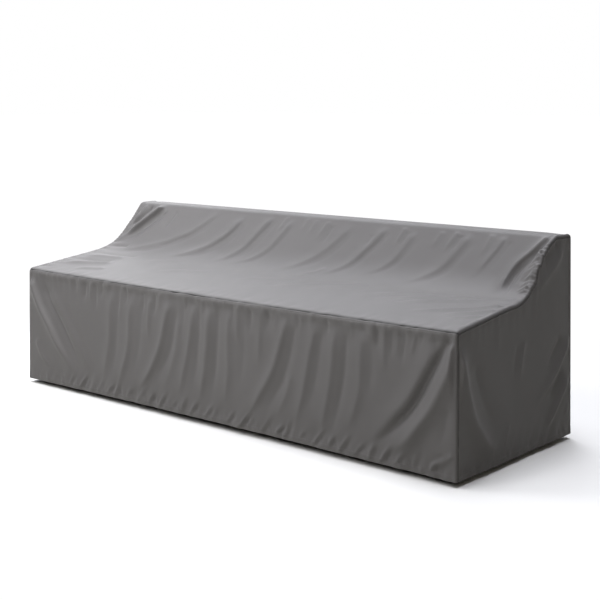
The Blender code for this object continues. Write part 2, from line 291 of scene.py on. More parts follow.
# The front's smaller creases, which its solid leaves out
FRONT_CREASES = (
    Fold(((0.06, 0.20), (0.10, 0.13), (0.18, 0.055)), 0.0072, 0.018),
    Fold(((0.355, 0.50), (0.36, 0.42)), 0.0029, 0.010),
    Fold(((0.415, 0.50), (0.405, 0.40)), -0.0067, 0.015),
    Fold(((0.455, 0.50), (0.45, 0.40)), 0.0033, 0.011),
    Fold(((0.485, 0.50), (0.485, 0.36)), -0.0054, 0.014),
    Fold(((0.525, 0.51), (0.52, 0.42)), -0.0067, 0.014),
    Fold(((0.655, 0.49), (0.65, 0.33)), 0.0033, 0.013),
    Fold(((0.685, 0.50), (0.69, 0.41)), -0.0054, 0.011),
    Fold(((0.795, 0.50), (0.795, 0.39)), -0.0060, 0.014),
    Fold(((0.845, 0.48), (0.84, 0.37), (0.835, 0.27)), 0.0051, 0.016, lean=0.2),
    Fold(((0.88, 0.50), (0.87, 0.38)), -0.0060, 0.014),
    Fold(((0.915, 0.50), (0.905, 0.42)), 0.0029, 0.010),
    Fold(((1.055, 0.48), (1.045, 0.38), (1.03, 0.28)), -0.0033, 0.016),
    Fold(((1.075, 0.50), (1.07, 0.43)), -0.0033, 0.009),
    Fold(((1.165, 0.50), (1.165, 0.43)), 0.0033, 0.009),
    Fold(((1.335, 0.50), (1.33, 0.38)), -0.0032, 0.011),
    Fold(((1.365, 0.50), (1.365, 0.33)), 0.0041, 0.014, lean=0.2),
    Fold(((1.43, 0.50), (1.43, 0.38)), -0.0041, 0.014),
    Fold(((1.485, 0.50), (1.485, 0.38), (1.475, 0.24)), 0.0048, 0.020, lean=0.2),
    Fold(((1.525, 0.50), (1.52, 0.40)), -0.0033, 0.012),
    Fold(((1.565, 0.50), (1.55, 0.43)), -0.0025, 0.009),
    Fold(((1.70, 0.50), (1.69, 0.40)), 0.0027, 0.011),
    Fold(((1.825, 0.50), (1.82, 0.43)), -0.0030, 0.010),
    Fold(((1.945, 0.50), (1.945, 0.42)), 0.0026, 0.010),
    Fold(((2.06, 0.50), (2.06, 0.40)), -0.0033, 0.011),
    Fold(((2.095, 0.50), (2.09, 0.33)), 0.0043, 0.015, lean=0.2),
    Fold(((2.125, 0.50), (2.12, 0.38)), -0.0037, 0.011),
    Fold(((2.15, 0.50), (2.145, 0.39)), 0.0033, 0.011),
    Fold(((2.18, 0.50), (2.17, 0.36)), -0.0039, 0.012),
    Fold(((2.23, 0.50), (2.205, 0.40)), 0.0032, 0.011),
    Fold(((2.265, 0.50), (2.245, 0.44)), -0.0025, 0.009),
    Fold(((2.37, 0.26), (2.35, 0.17), (2.32, 0.09)), -0.0033, 0.018),
    Fold(((2.345, 0.085), (2.29, 0.045)), -0.0027, 0.011),
    Fold(((2.395, 0.095), (2.34, 0.06), (2.27, 0.025)), 0.0042, 0.012),
)

# Where the puckers over the front's hem stand, from the left end
HEM_PUCKERS = (
    0.30, 0.37, 0.42, 0.50, 0.56, 0.62, 0.69, 0.76, 0.84, 0.90, 0.97, 1.04, 1.09, 1.17, 1.22, 1.30,
    1.37, 1.42, 1.49, 1.56, 1.61, 1.68, 1.75, 1.83, 1.88, 1.95, 2.02, 2.07, 2.13, 2.21, 2.28,
)


@dataclass(frozen=True)
class HemPuckers:
    """Short slanting crests over the front's hem, each with a dip beside it, uneven in lean, reach and height."""

    places: tuple[float, ...] = HEM_PUCKERS
    up: float = 0.034
    reach: float = 0.026
    lean: float = 0.6
    height: float = 0.0028
    crest_width: float = 0.009
    dip_width: float = 0.012
    dip_beside: float = 0.021
    dip_share: float = 0.8

    def relief(self, across: Array, up: Array) -> Array:
        """Works out the puckers' height, a little more towards the right end.

        Args:
            across: Places across the front.
            up: Places up from the hem, in an array of the same shape.

        Returns:
            Heights there.
        """
        heights = np.zeros(across.shape)
        for n, place in enumerate(self.places):
            off = across - place - (self.lean + 0.25 * math.sin(2.1 * n)) * up
            shape = bell(off, self.crest_width) - self.dip_share * bell(off - self.dip_beside, self.dip_width)
            reach = self.reach + 0.010 * math.sin(2.9 * n)
            height = self.height + 0.0006 * place + 0.0013 * math.sin(1.7 * n)
            heights += height * shape * bell(up - self.up, reach)
        return heights

# Top panel: across from the left end, along the cloth from the front seam
TOP_FOLDS = (
    Fold(((0.205, 0.775), (0.155, 0.69), (0.115, 0.63), (0.065, 0.57), (0.02, 0.54)), 0.0250, 0.021, lean=0.35),
    Fold(((0.112, 0.77), (0.068, 0.69), (0.03, 0.61)), -0.0150, 0.015),
    Fold(((0.235, 0.75), (0.19, 0.67), (0.15, 0.61), (0.10, 0.56), (0.04, 0.53)), -0.0084, 0.018),
    Fold(((0.61, 0.77), (0.54, 0.69), (0.48, 0.62), (0.40, 0.57), (0.31, 0.52), (0.21, 0.475), (0.09, 0.45)),
         0.0082, 0.023, lean=0.55, foot_fade=0.4),
    Fold(((0.60, 0.70), (0.53, 0.625), (0.46, 0.57), (0.37, 0.515),
          (0.28, 0.465), (0.16, 0.43), (0.05, 0.41)),
         -0.0022, 0.018, foot_fade=0.35),
    Fold(((0.76, 0.76), (0.735, 0.66), (0.69, 0.585), (0.63, 0.52), (0.54, 0.465), (0.45, 0.44)),
         0.0116, 0.027, lean=0.55),
    Fold(((0.80, 0.73), (0.775, 0.64), (0.735, 0.565), (0.67, 0.50), (0.59, 0.45)), -0.0036, 0.020),
    Fold(((0.94, 0.77), (0.92, 0.69), (0.895, 0.61), (0.865, 0.535), (0.82, 0.475), (0.75, 0.44)),
         0.0096, 0.025, lean=0.55),
    Fold(((0.97, 0.75), (0.955, 0.66), (0.93, 0.58), (0.895, 0.51), (0.85, 0.46)), -0.0030, 0.017),
    Fold(((1.075, 0.76), (1.06, 0.68), (1.04, 0.60), (1.00, 0.53), (0.94, 0.475), (0.87, 0.445)),
         0.0082, 0.024, lean=0.55),
    Fold(((1.415, 0.76), (1.38, 0.68), (1.34, 0.605), (1.285, 0.535), (1.21, 0.465), (1.13, 0.425)),
         0.0064, 0.026, lean=0.5),
    Fold(((1.442, 0.73), (1.412, 0.65), (1.367, 0.575), (1.312, 0.515), (1.252, 0.465)), -0.0020, 0.017),
    Fold(((1.60, 0.77), (1.575, 0.68), (1.54, 0.60), (1.505, 0.535), (1.45, 0.48), (1.37, 0.44)),
         0.0076, 0.025, lean=0.5),
    Fold(((1.627, 0.74), (1.602, 0.66), (1.567, 0.585), (1.527, 0.52), (1.482, 0.475)), -0.0024, 0.016),
    Fold(((1.755, 0.76), (1.735, 0.66), (1.71, 0.58), (1.665, 0.52), (1.59, 0.475)), 0.0059, 0.022, lean=0.5),
    Fold(((1.783, 0.72), (1.757, 0.62), (1.722, 0.55), (1.672, 0.50)), -0.0020, 0.015),
    Fold(((2.02, 0.77), (2.00, 0.68), (1.97, 0.605), (1.935, 0.545), (1.88, 0.49), (1.80, 0.45)),
         0.0067, 0.026, lean=0.5),
    Fold(((2.052, 0.73), (2.027, 0.65), (1.992, 0.57), (1.947, 0.505), (1.892, 0.46)), -0.0024, 0.018),
    Fold(((2.18, 0.77), (2.165, 0.68), (2.14, 0.60), (2.115, 0.53)), 0.0061, 0.020, lean=0.5),
    Fold(((2.215, 0.75), (2.195, 0.66), (2.17, 0.57)), -0.0022, 0.016),
    Fold(((2.38, 0.79), (2.357, 0.745), (2.328, 0.70), (2.302, 0.66),
          (2.284, 0.62), (2.273, 0.57), (2.27, 0.51), (2.276, 0.45)),
         0.0140, 0.020, lean=0.45, head_fade=0.1, foot_fade=0.25),
    Fold(((2.392, 0.765), (2.374, 0.72), (2.350, 0.68), (2.325, 0.635),
          (2.309, 0.60), (2.300, 0.55), (2.301, 0.50), (2.31, 0.45)),
         -0.0085, 0.012, head_fade=0.1, foot_fade=0.25),
    Fold(((2.397, 0.72), (2.375, 0.66), (2.35, 0.60), (2.333, 0.54), (2.325, 0.47)), 0.008, 0.016),
)

# The top's smaller creases, which its solid leaves out
TOP_CREASES = (
    Fold(((0.066, 0.775), (0.046, 0.70), (0.025, 0.63)), 0.0075, 0.012, foot_fade=0.3),
    Fold(((0.30, 0.75), (0.29, 0.62)), -0.0056, 0.012),
    Fold(((0.16, 0.49), (0.09, 0.482), (0.02, 0.475)), -0.0063, 0.015),
    Fold(((0.34, 0.395), (0.22, 0.372), (0.11, 0.362), (0.03, 0.35)), -0.0049, 0.0206),
    Fold(((0.30, 0.325), (0.20, 0.312), (0.10, 0.298), (0.03, 0.28)), 0.0095, 0.0261),
    Fold(((0.30, 0.255), (0.20, 0.245), (0.10, 0.232), (0.03, 0.215)), -0.0070, 0.0192),
    Fold(((0.33, 0.235), (0.22, 0.192), (0.12, 0.162), (0.02, 0.14)), 0.0105, 0.022),
    Fold(((0.38, 0.145), (0.30, 0.122), (0.20, 0.095)), 0.0065, 0.0165),
    Fold(((0.46, 0.60), (0.38, 0.545), (0.30, 0.52)), -0.0031, 0.012),
    Fold(((1.03, 0.77), (1.02, 0.66)), 0.0045, 0.012, lean=0.2),
    Fold(((1.155, 0.77), (1.15, 0.68)), 0.0036, 0.012, lean=0.2),
    Fold(((1.205, 0.77), (1.20, 0.66)), 0.0037, 0.012, lean=0.2),
    Fold(((1.275, 0.77), (1.26, 0.65)), 0.0045, 0.013, lean=0.2),
    Fold(((1.31, 0.75), (1.295, 0.62)), -0.0045, 0.013),
    Fold(((1.42, 0.50), (1.37, 0.45), (1.30, 0.41)), 0.0041, 0.015, lean=0.2),
    Fold(((1.545, 0.71), (1.54, 0.63)), -0.0028, 0.012),
    Fold(((1.695, 0.77), (1.685, 0.65)), 0.0045, 0.012, lean=0.2),
    Fold(((1.72, 0.75), (1.705, 0.66)), -0.0032, 0.012),
    Fold(((1.885, 0.76), (1.87, 0.66)), 0.0042, 0.013, lean=0.2),
    Fold(((1.955, 0.77), (1.935, 0.64)), 0.0057, 0.013, lean=0.2),
    Fold(((1.98, 0.75), (1.96, 0.64)), -0.0042, 0.012),
    Fold(((2.125, 0.77), (2.11, 0.64)), 0.0055, 0.013, lean=0.2),
    Fold(((2.36, 0.40), (2.22, 0.345), (2.08, 0.285), (1.94, 0.22)),
         0.0088, 0.013, head_fade=0.3, foot_fade=0.4),
    Fold(((2.30, 0.42), (2.14, 0.365), (1.98, 0.30), (1.84, 0.235)), 0.0072, 0.013, head_fade=0.35),
    Fold(((2.10, 0.41), (1.94, 0.35), (1.78, 0.29)), 0.0060, 0.014, head_fade=0.35),
    Fold(((2.39, 0.345), (2.29, 0.265), (2.18, 0.20), (2.06, 0.15)),
         0.0088, 0.013, head_fade=0.1, foot_fade=0.4),
    Fold(((2.39, 0.285), (2.31, 0.215), (2.22, 0.16)), 0.0072, 0.013, head_fade=0.1, foot_fade=0.4),
    Fold(((2.385, 0.21), (2.32, 0.155), (2.25, 0.115)), 0.0055, 0.013, head_fade=0.1, foot_fade=0.4),
    Fold(((2.39, 0.42), (2.28, 0.39), (2.14, 0.38)), 0.0050, 0.014),
    Fold(((1.75, 0.40), (1.58, 0.345), (1.42, 0.27), (1.30, 0.20)), 0.0060, 0.015, head_fade=0.35),
    Fold(((1.40, 0.36), (1.24, 0.31), (1.08, 0.245)), 0.0036, 0.016, head_fade=0.35),
    Fold(((0.92, 0.31), (0.76, 0.255), (0.62, 0.19)), 0.0036, 0.018, head_fade=0.35),
    Fold(((0.70, 0.41), (0.54, 0.37), (0.40, 0.32)), 0.0036, 0.018, head_fade=0.35),
)


@dataclass(frozen=True)
class ShortGathers:
    """Short creases that run down from the right end seam on the slope, uneven in length and depth."""

    count: int = 17
    first: float = 0.490
    pitch: float = 0.0122
    reach: float = 0.030
    height: float = 0.0064
    width: float = 0.0056

    def folds(self) -> tuple[Fold, ...]:
        """Works the creases out.

        Returns:
            The creases, from the slope's foot up.
        """
        seam = COVER.width - 0.002
        made = []
        for n in range(self.count):
            place = self.first + self.pitch * n + 0.0030 * math.sin(2.7 * n)
            reach = self.reach + 0.014 * math.sin(2.3 * n)
            height = self.height + 0.0024 * math.sin(1.3 * n + 1)
            bend = seam - 0.013 - 0.3 * reach
            foot = seam - 0.013 - reach
            path = ((seam, place + 0.010), (bend, place), (foot, place - 0.5 * reach))
            made.append(Fold(path, height, self.width, lean=0.4, head_fade=0.1, foot_fade=0.6))
        return tuple(made)


# Swells that follow the end seams up the slope, which the end panels take too
TOP_END_SWELLS = (
    Fold(((COVER.width, 0.81), (COVER.width, 0.47)), 0.031, 0.050, head_fade=0.3, foot_fade=0.35),
    Fold(((COVER.width, 0.59), (COVER.width, 0.515)), -0.012, 0.030, head_fade=0.5, foot_fade=0.5),
    Fold(((COVER.width, 0.48), (COVER.width, 0.34)), -0.004, 0.050, head_fade=0.4, foot_fade=0.4),
    Fold(((0.00, 0.80), (0.00, 0.42)), -0.010, 0.080, head_fade=0.35, foot_fade=0.35),
)


@dataclass(frozen=True)
class EndLift:
    """How far the rolled ends of the top, and the end panels' upper edges, stand out of the section."""

    swells: tuple[Fold, ...] = TOP_END_SWELLS
    slope_foot: float = 0.44
    slope_head: float = 0.76
    seat_share: float = 0.15
    left_share: float = 0.3
    lump: float = 0.030
    lump_height: float = 0.0050
    lump_reach: float = 0.040
    tooth: float = 0.0095
    tooth_height: float = 0.0095
    tooth_reach: float = 0.018
    ripple: float = 0.0027

    def relief(self, across: Array, along: Array) -> Array:
        """Works out the swells, and the uneven gathers where the slope's cloth is eased in to the end seams.

        Args:
            across: Places across the top.
            along: Places along it from the front seam, in an array of the same shape.

        Returns:
            Heights there.
        """
        right = across > COVER.width / 2
        to_end = np.where(right, COVER.width - across, across)
        slope_share = (1 - self.seat_share) * smooth_step(along - self.slope_foot, 0.10)
        eased = self.seat_share * smooth_step(along - 0.02, 0.06) + slope_share
        eased = eased * smooth_step(self.slope_head - along, 0.06)
        lumps = cloth_noise(along, np.where(right, 5.5, 7.5), self.lump, 1.0, 0.5)
        teeth = 0.6 * cloth_noise(along, np.where(right, 3.5, 9.5), self.tooth, 1.0, 0.5)
        teeth = teeth + 0.35 * np.sin(along / self.ripple + 4 * lumps)
        gathers = self.tooth_height * teeth * bell(to_end, self.tooth_reach)
        gathers = gathers + self.lump_height * lumps * bell(to_end, self.lump_reach)
        return folds_relief(self.swells, across, along) + np.where(right, 1.0, self.left_share) * eased * gathers


END_LIFT = EndLift()


# Back panel: across from the left end, up from the hem
BACK_FOLDS = (
    Fold(((0.08, 0.72), (0.16, 0.38), (0.30, 0.05)), 0.0121, 0.048, lean=-0.2),
    Fold(((0.30, 0.62), (0.34, 0.33), (0.42, 0.05)), -0.0081, 0.048),
    Fold(((0.84, 0.58), (0.805, 0.31), (0.75, 0.05)), -0.0095, 0.050),
    Fold(((0.88, 0.80), (0.84, 0.63), (0.80, 0.46)), -0.0121, 0.046),
    Fold(((1.02, 0.74), (1.00, 0.40), (0.98, 0.10)), 0.0095, 0.044, lean=0.2),
    Fold(((1.20, 0.62), (1.225, 0.33), (1.22, 0.05)), -0.0095, 0.050),
    Fold(((1.27, 0.80), (1.285, 0.61), (1.30, 0.42)), -0.0135, 0.046),
    Fold(((1.42, 0.74), (1.44, 0.41), (1.46, 0.12)), 0.0095, 0.044, lean=0.2),
    Fold(((1.60, 0.80), (1.62, 0.64), (1.64, 0.48)), -0.0121, 0.046),
    Fold(((1.62, 0.60), (1.65, 0.32), (1.70, 0.05)), -0.0095, 0.050),
    Fold(((2.12, 0.62), (2.07, 0.35), (1.98, 0.08)), -0.0081, 0.048),
    Fold(((2.31, 0.72), (2.22, 0.38), (2.08, 0.05)), 0.0121, 0.048, lean=0.2),
)

BACK_CREASES = (
    Fold(((0.06, 0.74), (0.10, 0.54), (0.17, 0.30)), 0.0051, 0.020),
    Fold(((0.22, 0.77), (0.21, 0.63)), -0.0043, 0.014),
    Fold(((0.45, 0.77), (0.47, 0.60)), 0.0046, 0.016),
    Fold(((0.60, 0.77), (0.58, 0.62), (0.55, 0.50)), 0.0052, 0.018),
    Fold(((0.70, 0.40), (0.69, 0.25), (0.66, 0.10)), 0.0046, 0.024),
    Fold(((0.74, 0.77), (0.73, 0.66), (0.70, 0.55)), 0.0049, 0.017),
    Fold(((1.13, 0.77), (1.12, 0.64), (1.10, 0.52)), 0.0052, 0.018),
    Fold(((1.38, 0.36), (1.37, 0.22), (1.34, 0.08)), 0.0046, 0.024),
    Fold(((1.53, 0.77), (1.54, 0.64)), 0.0043, 0.014),
    Fold(((1.72, 0.77), (1.73, 0.64), (1.76, 0.50)), 0.0052, 0.018),
    Fold(((1.92, 0.77), (1.92, 0.66), (1.90, 0.54)), -0.0046, 0.018),
    Fold(((2.06, 0.77), (2.05, 0.65)), 0.0043, 0.014),
    Fold(((2.33, 0.74), (2.28, 0.50), (2.20, 0.25)), 0.0051, 0.020),
)

# End panels: back from the front face, up from the hem
RIGHT_END_FOLDS = (
    Fold(((0.015, 0.47), (0.035, 0.36), (0.068, 0.26), (0.115, 0.17), (0.19, 0.095), (0.29, 0.035)),
         0.0174, 0.040, lean=0.1, foot_fade=0.35),
    Fold(((0.12, 0.40), (0.15, 0.30), (0.20, 0.21), (0.28, 0.12)), -0.0056, 0.030),
    Fold(((0.46, 0.43), (0.44, 0.36), (0.42, 0.27)), 0.0047, 0.018),
    Fold(((0.800, 0.400), (0.75, 0.335), (0.69, 0.275), (0.62, 0.22), (0.52, 0.155)),
         0.0137, 0.019, lean=0.1, head_fade=0.22, foot_fade=0.6),
    Fold(((0.74, 0.40), (0.68, 0.34), (0.61, 0.28)), -0.0067, 0.022),
    Fold(((0.795, 0.24), (0.735, 0.18), (0.67, 0.12), (0.61, 0.06)),
         0.0143, 0.019, lean=0.1, head_fade=0.22, foot_fade=0.3),
    Fold(((0.745, 0.735), (0.70, 0.69), (0.64, 0.65), (0.56, 0.605), (0.50, 0.57)), 0.0073, 0.024),
)

RIGHT_END_CREASES = (
    Fold(((0.415, 0.42), (0.395, 0.35), (0.38, 0.28)), -0.0025, 0.015),
    Fold(((0.75, 0.27), (0.69, 0.215), (0.63, 0.165)), -0.0046, 0.017),
    Fold(((0.795, 0.12), (0.76, 0.08)), 0.0039, 0.011),
    Fold(((0.72, 0.77), (0.66, 0.73), (0.58, 0.68)), -0.0057, 0.026),
    Fold(((0.275, 0.50), (0.27, 0.38)), 0.0016, 0.020),
    Fold(((0.35, 0.14), (0.32, 0.08), (0.29, 0.03)), 0.0028, 0.014),
)

LEFT_END_FOLDS = (
    Fold(((0.05, 0.45), (0.08, 0.35), (0.12, 0.25), (0.18, 0.15), (0.27, 0.06)), 0.009, 0.028, lean=0.1),
    Fold(((0.50, 0.45), (0.485, 0.27), (0.44, 0.10)), -0.005, 0.038),
    Fold(((0.79, 0.42), (0.72, 0.32), (0.65, 0.23), (0.58, 0.14)), 0.009, 0.026, lean=0.1),
    Fold(((0.745, 0.72), (0.70, 0.66), (0.63, 0.60), (0.55, 0.57)), 0.006, 0.028),
)

LEFT_END_CREASES = (
    Fold(((0.40, 0.48), (0.385, 0.34), (0.36, 0.20)), 0.0032, 0.018),
    Fold(((0.78, 0.19), (0.72, 0.12), (0.66, 0.06)), 0.0045, 0.016),
    Fold(((0.14, 0.40), (0.18, 0.28), (0.24, 0.18)), -0.0040, 0.024),
    Fold(((0.24, 0.51), (0.24, 0.40)), 0.0024, 0.018),
    Fold(((0.64, 0.54), (0.60, 0.44), (0.54, 0.36)), 0.0024, 0.018),
)


# ---------------------------------------------------------------------------------------------- section


@dataclass(frozen=True)
class Stretch:
    """A straight or evenly curved stretch of the cover's section."""

    start: Vector
    normal: Vector
    length: float
    turn: float = 0.0

    def at(self, distance: float) -> tuple[Vector, Vector]:
        """Finds a place on the stretch.

        Args:
            distance: How far along it the place lies.

        Returns:
            The place and its outward normal.
        """
        if not self.turn:
            heading = Vector((self.normal.y, -self.normal.x))
            return self.start + heading * distance, self.normal
        normal = self.normal.copy()
        normal.rotate(Matrix.Rotation(self.turn * distance / self.length, 2))
        return self.start - (normal - self.normal) * (self.length / self.turn), normal


class Section:
    """The cover's section from the front hem over the top to the back hem, as one path of known length."""

    def __init__(self, size: CoverSize) -> None:
        """Lays the path out through the section's corners, each rounded by its own radius.

        Args:
            size: The cover's sizes.
        """
        corners = [
            Vector((0.0, 0.0)),
            Vector((0.0, size.front_height)),
            Vector((size.crease_back, size.crease_up)),
            Vector((size.slope_top_back, size.back_height)),
            Vector((size.depth, size.back_height)),
            Vector((size.depth, 0.0)),
        ]
        radii = (size.edge_radius, size.crease_radius, size.slope_top_radius, size.edge_radius)
        self.stretches: list[Stretch] = []
        self.starts: list[float] = [0.0]
        place = corners[0]
        for before, corner, after, radius in zip(corners, corners[1:], corners[2:], radii):
            heading_in = (corner - before).normalized()
            heading_out = (after - corner).normalized()
            turn = math.atan2(heading_in.cross(heading_out), heading_in.dot(heading_out))
            reach = radius * math.tan(abs(turn) / 2)
            normal = Vector((-heading_in.y, heading_in.x))
            bend_start = corner - heading_in * reach
            self.add(Stretch(place, normal, (bend_start - place).length))
            self.add(Stretch(bend_start, normal, radius * abs(turn), turn))
            place = corner + heading_out * reach
        self.add(Stretch(place, Vector((1.0, 0.0)), (corners[-1] - place).length))
        self.front_seam = self.starts[1] + self.stretches[1].length / 2
        self.back_seam = self.starts[-2] - self.stretches[-2].length / 2
        self.length = self.starts[-1]

    def add(self, stretch: Stretch) -> None:
        """Puts a stretch at the path's end."""
        self.stretches.append(stretch)
        self.starts.append(self.starts[-1] + stretch.length)

    def at(self, distance: float) -> tuple[Vector, Vector]:
        """Finds a place on the whole path.

        Args:
            distance: How far along it the place lies.

        Returns:
            The place and its outward normal.
        """
        number = int(np.searchsorted(self.starts, distance, side="right")) - 1
        number = min(max(number, 0), len(self.stretches) - 1)
        return self.stretches[number].at(distance - self.starts[number])


SECTION = Section(COVER)


# ---------------------------------------------------------------------------------------------- steps


CELL = 0.0066  # size of the end sheets' cells

# The closer steps beside a seam and over a hem, one of which carries the stitches
SEAM_STEPS = (0.0140, 0.0118, 0.0100, 0.0090, 0.0082, 0.0074, 0.0060, 0.0040, 0.0025)
HEM_STEPS = (0.0040, 0.0080, 0.0120, 0.0160, 0.0192, 0.0210, 0.0228, 0.0260, 0.0300)

LIP_TURNS = (0, 30, 60, 90)  # degrees
ALLOWANCE_SHARES = (0.4, 1.0)
LIP_COUNT = len(LIP_TURNS) + len(ALLOWANCE_SHARES)
HEM_TURNS = (150, 120, 90, 60, 30, 0)  # degrees
ROLL_TURNS = (72, 54, 36, 18)  # degrees
CLOSE_REACH = 0.26  # how far from its ends a long panel has closer columns
# The end seams get the painted seam shade at this share of its strength.
END_SHADE = 0.5  # share of a long seam's shade in the end seams, which stand open


@dataclass(frozen=True)
class Step:
    """One row or column of a sheet: how far along the cut it lies and how deep inside the cover."""

    along: float
    depth: float = 0.0


def lip_steps(edge: float, forward: int) -> list[Step]:
    """Steps over the lip where a sheet turns in to its seam, and down its allowance.

    Args:
        edge: Where the seam lies.
        forward: 1 where the sheet lies before the seam, -1 where it lies after it.

    Returns:
        Steps from the sheet to the free edge of its allowance.
    """
    steps = []
    for degrees in LIP_TURNS:
        angle = math.radians(degrees)
        short = SEWING.seam_gap / 2 + SEWING.lip * (1 - math.sin(angle))
        steps.append(Step(edge - forward * short, SEWING.lip * (1 - math.cos(angle))))
    last = edge - forward * SEWING.seam_gap / 2
    return steps + [Step(last, SEWING.lip + SEWING.allowance * share) for share in ALLOWANCE_SHARES]


def hem_steps() -> list[Step]:
    """Steps over the turned hem.

    Returns:
        Steps from the free edge inside, down the inner layer and round the hem's fold.
    """
    radius = SEWING.hem_radius
    inside = [Step(up, 2 * radius) for up in np.linspace(SEWING.hem_turn, 2 * radius, 5)]
    fold = []
    for degrees in HEM_TURNS:
        angle = math.radians(degrees)
        fold.append(Step(radius * (1 - math.sin(angle)), radius * (1 - math.cos(angle))))
    return inside + fold


def even_steps(start: float, end: float, cell: float = CELL) -> list[Step]:
    """Evenly spaced steps between two places, the places themselves left out."""
    count = max(1, round(abs(end - start) / cell))
    return [Step(start + (end - start) * n / count) for n in range(1, count)]


def seam_side(edge: float, forward: int) -> list[Step]:
    """Closer steps beside a seam, where its stitches run, then its lip."""
    return [Step(edge - forward * distance) for distance in SEAM_STEPS] + lip_steps(edge, forward)


def hem_side() -> list[Step]:
    """The turned hem and the closer steps above it."""
    return hem_steps() + [Step(up) for up in HEM_STEPS]


# ---------------------------------------------------------------------------------------------- sewn relief


def welt_relief(from_seam: Array) -> Array:
    """Double cloth beside a seam and the groove that its stitches pull."""
    raised = SEWING.welt * smooth_step(SEWING.welt_width - from_seam, 0.0016)
    return raised - SEWING.groove * bell(from_seam - SEWING.stitch_from_seam, SEWING.groove_width)


def hem_relief(up: Array) -> Array:
    """Double cloth at the hem and the groove that its stitches pull."""
    raised = SEWING.hem_welt * smooth_step(SEWING.hem_turn - up, 0.0030)
    return raised - SEWING.groove * bell(up - SEWING.hem_stitch_up, SEWING.hem_groove_width)


def painted_seam_shade(from_seam: Array) -> Array:
    """Painted shade: 1 in a seam, where light hardly reaches, falling to 0 beside it."""
    return bell(np.maximum(from_seam - 0.0012, 0.0), 0.0018)


def hem_hold(up: Array) -> Array:
    """Share of a fold's depth that the stiff hem leaves it."""
    return COVER.hem_hold + (1 - COVER.hem_hold) * smooth_step(up, COVER.hem_ease)


@dataclass(frozen=True)
class Unevenness:
    """Bumps of one height and size, spread over a panel."""

    height: float
    grain_in: float
    grain_on: float

    def relief(self, across: Array, along: Array, layer: float) -> Array:
        """Heights of the bumps, in the pattern that `layer` picks."""
        return self.height * cloth_noise(across, along, self.grain_in, self.grain_on, layer)


SHORT_SEAM_PUCKERS = Unevenness(0.0016, 0.016, 0.060)
LONG_SEAM_PUCKERS = Unevenness(0.0042, 0.034, 0.200)
SHORT_HEM_PUCKERS = Unevenness(0.0030, 0.016, 0.080)
LONG_HEM_PUCKERS = Unevenness(0.0046, 0.042, 0.300)
TUCK_CHANGE = Unevenness(0.9, 0.034, 0.40)
BROAD_WAVES = Unevenness(0.0026, 0.22, 0.30)
SMALL_WAVES = Unevenness(0.0011, 0.075, 0.130)
DRIFT_IN = Unevenness(0.004, 0.11, 0.11)
DRIFT_ON = Unevenness(0.007, 0.14, 0.14)


def seam_puckers(along_seam: Array, from_seam: Array, layer: float) -> Array:
    """Short gathers that run in to a seam, uneven in reach and depth.

    Args:
        along_seam: Places along the seam.
        from_seam: Distances from the seam.
        layer: Picks one of many patterns.

    Returns:
        Heights there.
    """
    short = SHORT_SEAM_PUCKERS.relief(along_seam, from_seam, layer) * bell(from_seam - 0.010, 0.016)
    long = LONG_SEAM_PUCKERS.relief(along_seam, from_seam, layer + 3) * bell(from_seam - 0.020, 0.050)
    return short + long


def hem_puckers(along_hem: Array, up: Array, layer: float) -> Array:
    """Short puckers at the hem's stitches and a slow wave of the whole hem.

    Args:
        along_hem: Places along the hem.
        up: Places up from it.
        layer: Picks one of many patterns.

    Returns:
        Heights there.
    """
    short = SHORT_HEM_PUCKERS.relief(along_hem + 0.3 * up, up, layer) * bell(up - 0.022, 0.020)
    long = LONG_HEM_PUCKERS.relief(along_hem - 0.5 * up, up, layer + 5) * bell(up - 0.020, 0.060)
    return short + long


def seam_tuck(along_seam: Array, from_seam: Array, layer: float) -> Array:
    """How the cloth draws in under a seam that stands proud, more in some places than in others.

    Args:
        along_seam: Places along the seam.
        from_seam: Distances from the seam.
        layer: Picks one of many patterns.

    Returns:
        Heights there.
    """
    uneven = 1 + TUCK_CHANGE.relief(along_seam, from_seam, layer)
    drawn = smooth_step(from_seam - 0.010, 0.034) * (1 - smooth_step(from_seam - 0.034, 0.110))
    return -SEWING.tuck * uneven * drawn


def soft_waves(across: Array, along: Array, layer: float) -> Array:
    """Slow unevenness of hanging cloth, with a little crumpling on top."""
    return BROAD_WAVES.relief(across, along, layer) + SMALL_WAVES.relief(across + 0.4 * along, along, layer + 7)


def wander(across: Array, along: Array, layer: float) -> tuple[Array, Array]:
    """Places moved a little off true, so that folds run unevenly."""
    return across + DRIFT_IN.relief(across, along, layer), along + DRIFT_ON.relief(across, along, layer + 2)


# ---------------------------------------------------------------------------------------------- sheets


